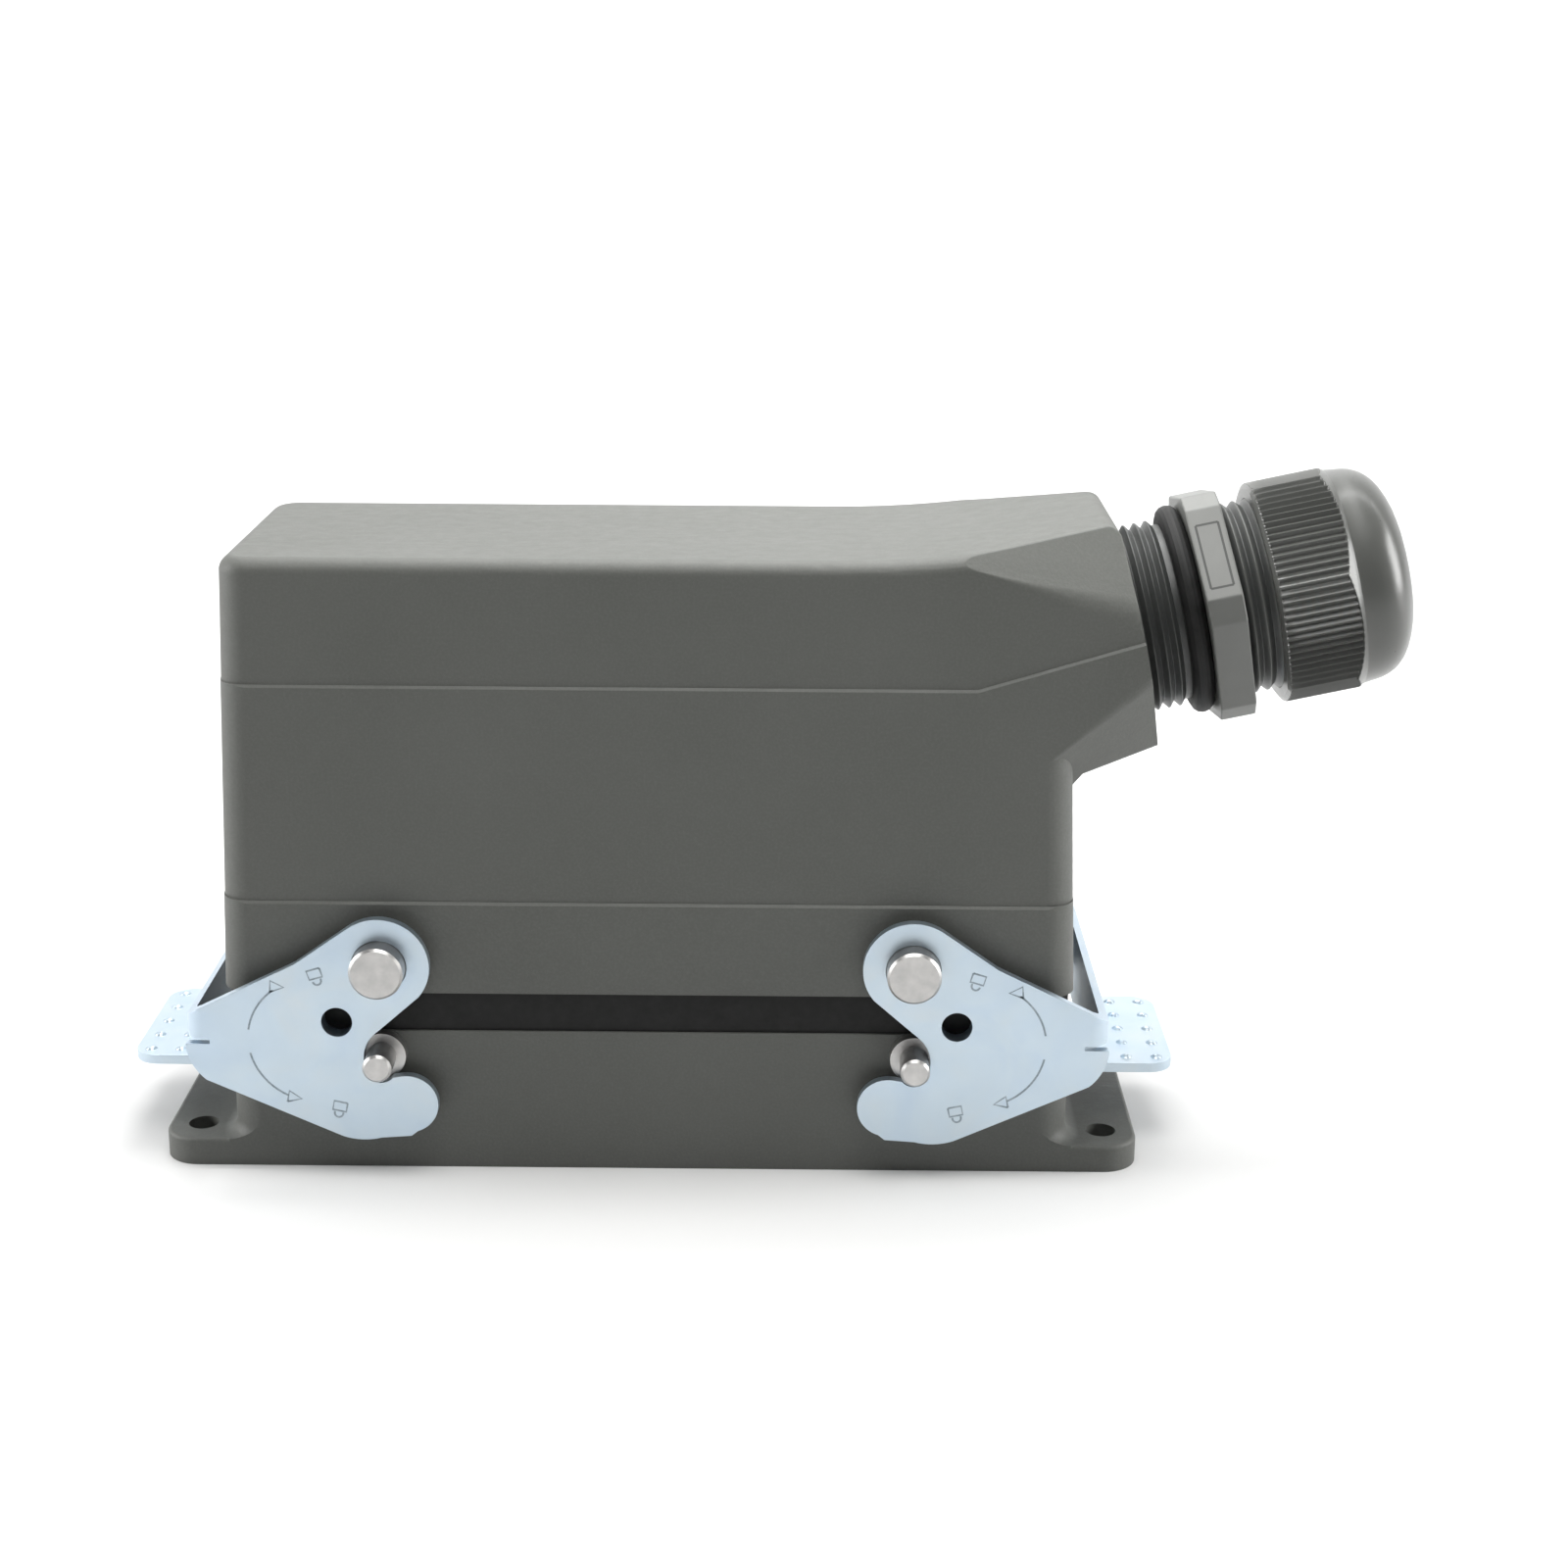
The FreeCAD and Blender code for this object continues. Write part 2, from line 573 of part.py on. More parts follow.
def hood_block(inset):
    """Outside of the hood and its cable boss, with both long faces moved in by the inset."""
    half_width = HOOD_WIDTH / 2 - inset
    block = profile_prism(hood_silhouette(), -half_width, half_width)
    end_edges = [edge for edge in upright_edges(block)
                 if edge.BoundBox.XMax < HOOD_LENGTH / 2 + OVERCUT
                 and edge.BoundBox.ZMin < HOOD_BOTTOM_Z + OVERCUT]
    block = block.makeFillet(HOOD_CORNER, end_edges)
    block = block.makeFillet(HOOD_TOP_EDGE_R, top_edges(block))
    block = block.cut(boss_bevels(inset))
    high_sides = [edge for edge in bevel_edges(block, 1.0)
                  if edge.BoundBox.ZMax > ENTRY_CENTRE.z]
    block = block.makeFillet(BEVEL_BLEND_R, BEVEL_BLEND_START_R, high_sides)
    low_sides = [edge for edge in bevel_edges(block, 1.0)
                 if edge.BoundBox.ZMax < ENTRY_CENTRE.z]
    block = block.makeFillet(BEVEL_BLEND_START_R, BEVEL_LOW_BLEND_R, low_sides)
    return block.makeFillet(BEVEL_EDGE_R, bevel_edges(block, 0.0))


def above_parting():
    """Region above the fine parting ledge, which climbs where it reaches the boss."""
    return polygon_prism([(-WIDE, PARTING_Z), (PARTING_BEND_X, PARTING_Z),
                          (WIDE, PARTING_Z + PARTING_SLOPE * (WIDE - PARTING_BEND_X)),
                          (WIDE, WIDE), (-WIDE, WIDE)], -WIDE, WIDE)


def ledge_slopes(inset, ledge_z, climbs):
    """Wedges that slope the outer edge of a ledge on both long faces."""
    half_width = HOOD_WIDTH / 2 - inset
    cutters = []
    for face in (-1, 1):
        corners = [(half_width - LEDGE_SLOPE - LEDGE_SLOPE_RISE, LEDGE_SLOPE_RISE),
                   (half_width + LEDGE_SLOPE, LEDGE_SLOPE_RISE),
                   (half_width + LEDGE_SLOPE, -2 * LEDGE_SLOPE)]
        points = [Vector(PARTING_BEND_X, face * y, ledge_z + z) for y, z in corners]
        section = Part.Face(Part.makePolygon(points + points[:1]))
        rise = PARTING_SLOPE if climbs else 0.0
        cutters.append(section.extrude(Vector(-WIDE, 0, 0)))
        cutters.append(section.extrude(Vector(WIDE, 0, WIDE * rise)))
    return cutters


def hood_cavity():
    """Inside of the hood: a pocket that clears the housing's collar, then the wire space."""
    half_width = HOOD_WIDTH / 2 - PANEL_INSET - HOOD_WALL
    low_x = HOOD_LENGTH / 2 - HOOD_WALL - PANEL_INSET
    low_z = HOOD_BOTTOM_Z - OVERCUT
    high_z = HOOD_TOP_Z - HOOD_WALL
    high_x = low_x - END_LEAN * (high_z - HOOD_BOTTOM_Z)
    room = polygon_prism([(-low_x, low_z), (low_x, low_z), (high_x, high_z), (-high_x, high_z)],
                         -half_width, half_width)
    room = room.makeFillet(HOOD_CORNER / 2, upright_edges(room))
    pocket = rounded_plate(COLLAR_LENGTH + 2 * HOOD_RIM_CLEARANCE,
                           COLLAR_WIDTH + 2 * HOOD_RIM_CLEARANCE,
                           COLLAR_CORNER + HOOD_RIM_CLEARANCE, low_z, HOOD_POCKET_TOP_Z)
    return fused([room, pocket])


def hood():
    above = above_parting()
    rim_zone = box(-WIDE, WIDE, -WIDE, WIDE, 0, RIM_LEDGE_Z)
    shell = fused([hood_block(0).common(rim_zone),
                   hood_block(PANEL_INSET).cut([above, rim_zone]),
                   hood_block(BAND_INSET).common(above)])
    shell = shell.cut(ledge_slopes(0, RIM_LEDGE_Z, False)
                      + ledge_slopes(PANEL_INSET, PARTING_Z, True))
    shell = shell.cut(hood_cavity())
    shell = fused([shell] + insert_posts(MALE_PLATE_Z + PLATE_THICKNESS, HOOD_POST_TOP_Z))
    shell = shell.cut(post_holes(MALE_PLATE_Z, HOOD_POST_TOP_Z - OVERCUT))
    shell = shell.cut(entry_cylinder(ENTRY_BORE_R, ENTRY_BORE_START, OVERCUT))
    stud_holes = [cross_cylinder(side * PIVOT_X, PIVOT_Z, STUD_SHANK_R + RIVET_PLAY,
                                 -WIDE / 4, WIDE / 4) for _, side in SIDES]
    return shell.cut(stud_holes)


# ---------------------------------------------------------------- locking levers
def lever_outline():
    """Side plate, seen with the handle towards -X; coordinates are from the pivot."""
    reach = LEVER_CROSSBAR_REACH
    steps = [
        ((reach, -7.9),),
        ((25.6, -6.6),),
        ((11.7, 0.3),),
        ((4.15, 5.64),),
        ((-4.9, 5.0), (-5.4, -4.45)),
        ((1.0, -10.1),),
        ((2.25, -11.9), (2.6, -14.1)),
        ((2.6, -15.2),),
        ((0.4, -17.4), (-1.3, -16.6)),
        ((-2.6, -16.4),),
        ((-7.55, -20.7), (-4.5, -24.85)),
        ((-3.6, -25.6),),
        ((0.6, -25.9),),
        ((3.6, -26.2), (6.1, -25.7)),
        ((24.9, -17.2),),
        ((26.5, -15.3), (reach, -12.4)),
    ]

    def place(point):
        return (-PIVOT_X - point[0], PIVOT_Z + point[1])

    return trace(place((reach, -11.4)), [tuple(place(point) for point in step) for step in steps])


def lever_channel():
    """Plan of the bent sheet: two side plates joined by a crossbar, with round bends."""
    outer_x = -PIVOT_X - LEVER_CROSSBAR_REACH
    length = LEVER_CROSSBAR_REACH + PIVOT_X
    outer = centred_box(2 * length, 2 * LEVER_OUTER_Y, 0, WIDE / 2)
    outer = outer.makeFillet(LEVER_BEND_R, [edge for edge in upright_edges(outer)
                                            if edge.BoundBox.XMax < outer_x + OVERCUT])
    inner = centred_box(2 * (length - LEVER_SHEET), 2 * LEVER_INNER_Y, -OVERCUT, WIDE)
    inner = inner.makeFillet(LEVER_BEND_R - LEVER_SHEET,
                             [edge for edge in upright_edges(inner)
                              if edge.BoundBox.XMax < outer_x + LEVER_SHEET + OVERCUT])
    return outer.cut(inner).common(box(-WIDE, 0, -WIDE, WIDE, -WIDE, WIDE))


def thumb_tab():
    """Lower half of the crossbar, bent outwards into a flat tab with round corners."""
    face_x = -PIVOT_X - LEVER_CROSSBAR_REACH
    edge_x = -PIVOT_X - TAB_REACH
    under_z = TAB_TOP_Z - LEVER_SHEET
    inner_r = TAB_BEND_R
    outer_r = TAB_BEND_R + LEVER_SHEET
    near_x = face_x + LEVER_SHEET
    diagonal = math.sqrt(0.5)
    centre = (face_x - inner_r, TAB_TOP_Z + inner_r)
    strip = profile_prism(trace((face_x, LEVER_SLIT_Z + OVERCUT), [
        ((near_x, LEVER_SLIT_Z + OVERCUT),),
        ((near_x, centre[1]),),
        ((centre[0] + outer_r * diagonal, centre[1] - outer_r * diagonal), (centre[0], under_z)),
        ((edge_x, under_z),),
        ((edge_x, TAB_TOP_Z),),
        ((centre[0], TAB_TOP_Z),),
        ((centre[0] + inner_r * diagonal, centre[1] - inner_r * diagonal), (face_x, centre[1])),
    ]), -TAB_HALF_WIDTH, TAB_HALF_WIDTH)
    tab_corners = [edge for edge in strip.Edges
                   if edge.BoundBox.XMax < edge_x + 1e-3 and edge.BoundBox.ZLength > OVERCUT]
    strip = strip.makeFillet(TAB_CORNER, tab_corners)
    dimples = []
    ball_r = (DIMPLE_R ** 2 + DIMPLE_HEIGHT ** 2) / (2 * DIMPLE_HEIGHT)
    above_sheet = box(-WIDE, WIDE, -WIDE, WIDE, TAB_TOP_Z - LEVER_SHEET / 2, WIDE)
    for reach in DIMPLE_REACHES:
        for i in range(-2, 3):
            centre_z = TAB_TOP_Z + DIMPLE_HEIGHT - ball_r
            ball = Part.makeSphere(ball_r, Vector(-PIVOT_X - reach, i * DIMPLE_PITCH, centre_z))
            dimples.append(ball.common(above_sheet))
    return fused([strip] + dimples)


def lever_left():
    plate = lever_outline()
    bend_x = -PIVOT_X - LEVER_CROSSBAR_REACH + LEVER_SLIT_LENGTH
    slit_low = LEVER_SLIT_Z - LEVER_SLIT_HEIGHT / 2
    slit_high = LEVER_SLIT_Z + LEVER_SLIT_HEIGHT / 2
    corner_low = box(-WIDE, bend_x, -WIDE, WIDE, -WIDE, slit_high)
    corner_high = box(-WIDE, bend_x, -WIDE, WIDE, slit_low, WIDE)
    whole_prism = profile_prism(plate, -LEVER_OUTER_Y, LEVER_OUTER_Y)
    pieces = [lever_channel().common(whole_prism).cut(corner_low), thumb_tab()]
    for low_y, high_y in ((-LEVER_OUTER_Y, -LEVER_INNER_Y), (LEVER_INNER_Y, LEVER_OUTER_Y)):
        flat = profile_prism(plate, low_y, high_y)
        pieces.append(flat.cut(corner_high))
    eye_x = -PIVOT_X - LEVER_EYE[0]
    eye_z = PIVOT_Z + LEVER_EYE[1]
    eye_tip_y = LEVER_INNER_Y - LEVER_EYE_DEPTH
    for low_y, high_y in ((-LEVER_OUTER_Y + LEVER_SHEET / 2, -eye_tip_y),
                          (eye_tip_y, LEVER_OUTER_Y - LEVER_SHEET / 2)):
        pieces.append(cross_cylinder(eye_x, eye_z, LEVER_EYE_R + LEVER_EYE_WALL, low_y, high_y))
    lever = fused(pieces)
    lever = lever.cut(cross_cylinder(eye_x, eye_z, LEVER_EYE_R, -WIDE / 4, WIDE / 4))
    return lever.cut(cross_cylinder(-PIVOT_X, PIVOT_Z, LEVER_PIVOT_HOLE_R, -WIDE / 4, WIDE / 4))


# ---------------------------------------------------------------- contact inserts
def headed_screw(x, y, seat_z, towards, shank_length, shank_r, head_r, head_height):
    """Cross-recessed screw; the head stands off the seat, opposite to the shank."""
    shank = upright_cylinder(x, y, shank_r, -shank_length, OVERCUT)
    head = upright_cylinder(x, y, head_r, 0, head_height)
    crown = [edge for edge in head.Edges if edge.BoundBox.ZMin > head_height - 1e-6]
    head = head.makeFillet(head_height / 3, crown)
    arm = head_r * RECESS_ARM
    slot = RECESS_HALF_WIDTH
    recess_z = head_height * RECESS_FLOOR
    head = head.cut([box(x - arm, x + arm, y - slot, y + slot, recess_z, head_height + OVERCUT),
                     box(x - slot, x + slot, y - arm, y + arm, recess_z, head_height + OVERCUT)])
    screw = fused([shank, head])
    if towards > 0:
        screw = screw.mirror(Vector(0, 0, 0), UP)
    screw.translate(Vector(0, 0, seat_z))
    return screw


def side_terminal_places(z):
    return [(x, math.copysign(1, y), z) for x, y in contact_places()]


def terminal_pockets(z):
    """Screw tunnels in the two long sides of a terminal block."""
    half = TERMINAL_BLOCK[1] / 2
    pockets = []
    for x, face, height in side_terminal_places(z):
        ends = sorted((face * (half - TERMINAL_DEPTH), face * (half + OVERCUT)))
        pockets.append(cross_cylinder(x, height, TERMINAL_SCREW_R + SCREW_PLAY, *ends))
    return pockets


def terminal_screws(z):
    half = TERMINAL_BLOCK[1] / 2
    screws = []
    for x, face, height in side_terminal_places(z):
        ends = sorted((face * (half - TERMINAL_DEPTH), face * (half - TERMINAL_SINK)))
        screw = cross_cylinder(x, height, TERMINAL_SCREW_R, *ends)
        slot_ends = sorted((face * (half - TERMINAL_SINK - TERMINAL_SLOT_DEPTH),
                            face * (half + OVERCUT)))
        slot = box(x - TERMINAL_SCREW_R, x + TERMINAL_SCREW_R, *slot_ends,
                   height - TERMINAL_SLOT_HALF, height + TERMINAL_SLOT_HALF)
        screws.append(screw.cut(slot))
    return Part.makeCompound(screws)


def insert_plate(z_low):
    plate = rounded_plate(PLATE_LENGTH, PLATE_WIDTH, PLATE_CORNER, z_low, z_low + PLATE_THICKNESS)
    holes = post_holes(z_low - OVERCUT, z_low + PLATE_THICKNESS + OVERCUT)
    holes += [upright_cylinder(side * EARTH_SCREW_X, 0, EARTH_SCREW_R + SCREW_PLAY,
                               z_low - OVERCUT, z_low + PLATE_THICKNESS + OVERCUT)
              for _, side in SIDES]
    return plate.cut(holes)


def female_insert():
    plate_top = FEMALE_PLATE_Z + PLATE_THICKNESS
    block_low = FEMALE_PLATE_Z - TERMINAL_HEIGHT
    insert = fused([insert_plate(FEMALE_PLATE_Z),
                    rounded_plate(*TERMINAL_BLOCK, TERMINAL_BLOCK_CORNER,
                                  block_low, FEMALE_PLATE_Z),
                    rounded_plate(*FEMALE_BODY, FEMALE_BODY_CORNER, plate_top, FEMALE_TOP_Z)])
    sockets = []
    for x, y in contact_places():
        sockets.append(upright_cylinder(x, y, SOCKET_R + RIVET_PLAY, SOCKET_LOW_Z, SOCKET_HIGH_Z))
        sockets.append(upright_cylinder(x, y, PIN_HOLE_R, SOCKET_HIGH_Z - OVERCUT,
                                        FEMALE_TOP_Z + OVERCUT))
        sockets.append(box(x - WIRE_HOLE, x + WIRE_HOLE, y - WIRE_HOLE, y + WIRE_HOLE,
                           block_low - OVERCUT, SOCKET_LOW_Z))
    return insert.cut(sockets + terminal_pockets(FEMALE_TERMINAL_Z))


def female_contacts():
    """Socket contacts, one tube per pole."""
    tubes = []
    for x, y in contact_places():
        tube = upright_cylinder(x, y, SOCKET_R, SOCKET_LOW_Z, SOCKET_HIGH_Z)
        tubes.append(tube.cut(upright_cylinder(x, y, PIN_HOLE_R, SOCKET_LOW_Z + 2 * SOCKET_R,
                                               SOCKET_HIGH_Z + OVERCUT)))
    return Part.makeCompound(tubes)


def male_insert():
    plate_top = MALE_PLATE_Z + PLATE_THICKNESS
    block_high = plate_top + TERMINAL_HEIGHT
    shroud = rounded_plate(*SHROUD_OUTER, SHROUD_CORNER, SHROUD_BOTTOM_Z, MALE_PLATE_Z)
    shroud = shroud.cut(rounded_plate(*SHROUD_INNER, FEMALE_BODY_CORNER,
                                      SHROUD_BOTTOM_Z - OVERCUT, MALE_PLATE_Z))
    insert = fused([insert_plate(MALE_PLATE_Z), shroud,
                    rounded_plate(*TERMINAL_BLOCK, TERMINAL_BLOCK_CORNER,
                                  plate_top, block_high)])
    holes = []
    for x, y in contact_places():
        holes.append(upright_cylinder(x, y, PIN_R + RIVET_PLAY, MALE_PLATE_Z - OVERCUT,
                                      PIN_SHOULDER_Z + OVERCUT))
        holes.append(upright_cylinder(x, y, SOCKET_R + RIVET_PLAY, PIN_SHOULDER_Z, PIN_TOP_Z))
        holes.append(box(x - WIRE_HOLE, x + WIRE_HOLE, y - WIRE_HOLE, y + WIRE_HOLE,
                         PIN_TOP_Z, block_high + OVERCUT))
    return insert.cut(holes + terminal_pockets(MALE_TERMINAL_Z))


def male_pins():
    pins = [fused([upright_cylinder(x, y, PIN_R, PIN_TIP_Z, PIN_SHOULDER_Z + OVERCUT),
                   upright_cylinder(x, y, SOCKET_R, PIN_SHOULDER_Z, PIN_TOP_Z)])
            for x, y in contact_places()]
    return Part.makeCompound(pins)


def earth_strip(side, seat_z, towards, near_x):
    """Angled earth contact: a foot under its screw and a blade that meets its partner."""
    thick = EARTH_SHEET
    foot = box(near_x, EARTH_FOOT_X, -EARTH_HALF_WIDTH, EARTH_HALF_WIDTH, 0, thick)
    blade = box(near_x, near_x + thick, -EARTH_HALF_WIDTH, EARTH_HALF_WIDTH, 0, EARTH_BLADE)
    strip = fused([foot, blade])
    strip = strip.cut(upright_cylinder(EARTH_SCREW_X, 0, EARTH_SCREW_R + SCREW_PLAY,
                                       -OVERCUT, thick + OVERCUT))
    if towards < 0:
        strip = strip.mirror(Vector(0, 0, 0), UP)
    strip.translate(Vector(0, 0, seat_z))
    return strip if side > 0 else mirrored_x(strip)


def fixing_screws(seat_z, towards):
    return Part.makeCompound([
        headed_screw(x, y, seat_z - towards * WASHER_THICKNESS, towards, SCREW_LENGTH,
                     SCREW_R, SCREW_HEAD_R, SCREW_HEAD_HEIGHT)
        for x, y in corner_places(INSERT_SCREW_X, INSERT_SCREW_Y)])


def screw_washers(seat_z, towards):
    z_low, z_high = sorted((seat_z, seat_z - towards * WASHER_THICKNESS))
    washers = []
    for x, y in corner_places(INSERT_SCREW_X, INSERT_SCREW_Y):
        ring = upright_cylinder(x, y, SCREW_HEAD_R, z_low, z_high)
        washers.append(ring.cut(upright_cylinder(x, y, SCREW_R + SCREW_PLAY, z_low - OVERCUT,
                                                 z_high + OVERCUT)))
    return Part.makeCompound(washers)


def earth_screws(seat_z, towards):
    return Part.makeCompound([
        headed_screw(side * EARTH_SCREW_X, 0, seat_z, towards, EARTH_SCREW_LENGTH,
                     EARTH_SCREW_R, EARTH_SCREW_HEAD_R, SCREW_HEAD_HEIGHT)
        for _, side in SIDES])


# ---------------------------------------------------------------- cable gland
def thread_profile(start, end, crest_r, root_r, pitch):
    """Zigzag (station, radius) points of a run of thread ridges."""
    turns = int((end - start) / pitch)
    points = []
    for i in range(turns):
        low = start + i * pitch
        climb, crest, fall = (low + share * pitch for share in THREAD_CREST)
        points += [(low, root_r), (climb, crest_r), (crest, crest_r), (fall, root_r)]
    return points + [(start + turns * pitch, root_r), (end, root_r)]


def ring_of_points(station, places):
    """Points round the cable axis from (degrees above the level front, radius) places."""
    points = []
    for degrees, radius in places:
        angle = math.radians(degrees)
        points.append(on_entry_axis(station) + ENTRY_UP * (radius * math.sin(angle))
                      - Vector(0, radius * math.cos(angle), 0))
    return points


def gland_hexagon():
    """Wrench flats, with their corners cut off by narrow facets."""
    apothem = HEX_ACROSS_FLATS / 2
    half_facet = 30.0 - math.degrees(math.acos(apothem / HEX_CORNER_CUT_R))
    places = [(HEX_TURN + corner * 60.0 + turn, HEX_CORNER_CUT_R)
              for corner in range(6) for turn in (-half_facet, half_facet)]
    points = ring_of_points(HEX_START, places)
    blank = Part.Face(Part.makePolygon(points + [points[0]]))
    return blank.extrude(ENTRY_AXIS * (HEX_END - HEX_START))


def gland_body():
    outline = thread_profile(THREAD_START, RING_START, THREAD_R, THREAD_ROOT_R, THREAD_PITCH)
    outline += [(HEX_START, THREAD_ROOT_R), (HEX_START, NECK_R), (HEX_END, NECK_R),
                (HEX_END, NECK_ROOT_R)]
    outline += thread_profile(HEX_END + NECK_RELIEF, NECK_END, NECK_R, NECK_ROOT_R, NECK_PITCH)
    outline += [(NECK_END, CLAW_BORE_R), (GROMMET_SEAT, CLAW_BORE_R),
                (GROMMET_SEAT, CABLE_BORE_R), (THREAD_START, CABLE_BORE_R)]
    tube = entry_turned(outline)
    flats = gland_hexagon().cut(entry_cylinder(NECK_ROOT_R - OVERCUT, HEX_START - OVERCUT,
                                               HEX_END + OVERCUT))
    return fused([tube, flats])


def gland_o_ring():
    """Sealing ring squeezed between the boss and the wrench flats, with rounded shoulders."""
    low = RING_START + RING_SIDE_PLAY
    seat_r = THREAD_ROOT_R + RIVET_PLAY
    near = [(low + along, RING_OUTER_R - down) for along, down in reversed(RING_SOFTNESS)]
    far = [(HEX_START - along, RING_OUTER_R - down) for along, down in RING_SOFTNESS]
    return entry_turned([(HEX_START, seat_r), (low, seat_r)] + near + far)


def gland_claw():
    """Ring of springy fingers round the grommet."""
    ring = entry_turned([(NECK_END, CLAW_BORE_R), (CLAW_END, CLAW_BORE_R),
                         (CLAW_END, CLAW_OUTER_R - CLAW_TIP[1]),
                         (CLAW_END - CLAW_TIP[0], CLAW_OUTER_R),
                         (NECK_END, CLAW_OUTER_R)])
    gap = Part.makeBox(2 * CLAW_OUTER_R, CLAW_GAP, CLAW_END - CLAW_RING_END + OVERCUT,
                       Vector(0, -CLAW_GAP / 2, 0))
    gap.Placement = FreeCAD.Placement(on_entry_axis(CLAW_RING_END),
                                      FreeCAD.Rotation(UP, ENTRY_AXIS))
    gaps = []
    for i in range(CLAW_COUNT):
        cutter = gap.copy()
        cutter.rotate(ENTRY_CENTRE, ENTRY_AXIS, i * 2 * HALF_CIRCLE / CLAW_COUNT)
        gaps.append(cutter)
    return ring.cut(gaps)


def gland_grommet():
    return entry_turned([(GROMMET_START, GROMMET_BORE_R), (GROMMET_END, GROMMET_BORE_R),
                         (GROMMET_END, GROMMET_R - GROMMET_LEAD[1]),
                         (GROMMET_END - GROMMET_LEAD[0], GROMMET_R),
                         (GROMMET_START, GROMMET_R)])


def nut_barrel():
    """Six-sided barrel whose sides are bowed arcs between softened corners."""
    edges = []
    places = [(NUT_TURN + half_side * 30.0, NUT_FLAT_R if half_side % 2 else NUT_CORNER_R)
              for half_side in range(13)]
    points = ring_of_points(NUT_START, places)
    soften = NUT_CORNER_SOFTNESS
    for i in range(0, 12, 2):
        corner, middle, following = points[i], points[i + 1], points[i + 2]
        first = corner + (middle - corner) * soften
        last = following + (middle - following) * soften
        edges.append(Part.Arc(first, middle, last).toShape())
        beyond = following + (points[(i + 3) % 12] - following) * soften
        rounded = following * 0.6 + (last + beyond) * 0.2
        edges.append(Part.Arc(last, rounded, beyond).toShape())
    blank = Part.Face(Part.Wire(edges))
    return blank.extrude(ENTRY_AXIS * (NUT_END - NUT_START))


def gland_nut():
    """Dome nut: a six-sided gripped barrel, a smooth dome and the cable mouth."""
    outline = [(NUT_START, NUT_BORE_R), (NUT_START, NUT_CORNER_R - NUT_LEAD[1]),
               (NUT_START + NUT_LEAD[0], NUT_CORNER_R + RIVET_PLAY)] + NUT_DOME
    outline += [(NUT_END, CABLE_MOUTH_R), (NUT_END - NUT_MOUTH_DEPTH, CABLE_MOUTH_R),
                (NUT_CONE_START, NUT_INNER_R), (NUT_THREAD_END + NUT_STEP, NUT_INNER_R),
                (NUT_THREAD_END, NUT_BORE_R)]
    return entry_turned(outline).common(nut_barrel())


# ---------------------------------------------------------------- the whole connector
def nodes():
    left_lever = lever_left()
    made = {
        "base_housing": base_housing(),
        "flange_gasket": flange_gasket(),
        "rim_seal": rim_seal(),
        "hood": hood(),
        "lever_left": left_lever,
        "lever_right": mirrored_x(left_lever),
        "female_insert": female_insert(),
        "female_contacts": female_contacts(),
        "female_terminal_screws": terminal_screws(FEMALE_TERMINAL_Z),
        "female_fixing_screws": fixing_screws(FEMALE_PLATE_Z + PLATE_THICKNESS, -1),
        "female_screw_washers": screw_washers(FEMALE_PLATE_Z + PLATE_THICKNESS, -1),
        "female_earth_screws": earth_screws(FEMALE_PLATE_Z + PLATE_THICKNESS + EARTH_SHEET, -1),
        "male_insert": male_insert(),
        "male_pins": male_pins(),
        "male_terminal_screws": terminal_screws(MALE_TERMINAL_Z),
        "male_fixing_screws": fixing_screws(MALE_PLATE_Z, 1),
        "male_screw_washers": screw_washers(MALE_PLATE_Z, 1),
        "male_earth_screws": earth_screws(MALE_PLATE_Z - EARTH_SHEET, 1),
        "gland_body": gland_body(),
        "gland_o_ring": gland_o_ring(),
        "gland_claw": gland_claw(),
        "gland_grommet": gland_grommet(),
        "gland_nut": gland_nut(),
    }
    for side_name, side in SIDES:
        made["female_earth_" + side_name] = earth_strip(
            side, FEMALE_PLATE_Z + PLATE_THICKNESS, 1, FEMALE_EARTH_X)
        made["male_earth_" + side_name] = earth_strip(side, MALE_PLATE_Z, -1, MALE_EARTH_X)
        for face_name, face in FACES:
            made[f"pivot_stud_{face_name}_{side_name}"] = pivot_stud(side, face)
            made[f"locking_peg_{face_name}_{side_name}"] = locking_peg(side, face)
    return made


def main():
    os.makedirs("parts", exist_ok=True)
    for name, shape in nodes().items():
        if not shape.isValid() or min(solid.Volume for solid in shape.Solids) <= 0:
            raise ValueError(name + " is not a sound solid")
        shape.exportStep("parts/" + name + ".step")


main()
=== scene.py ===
import json
import math

import bmesh
import bpy
from mathutils import Matrix, Vector


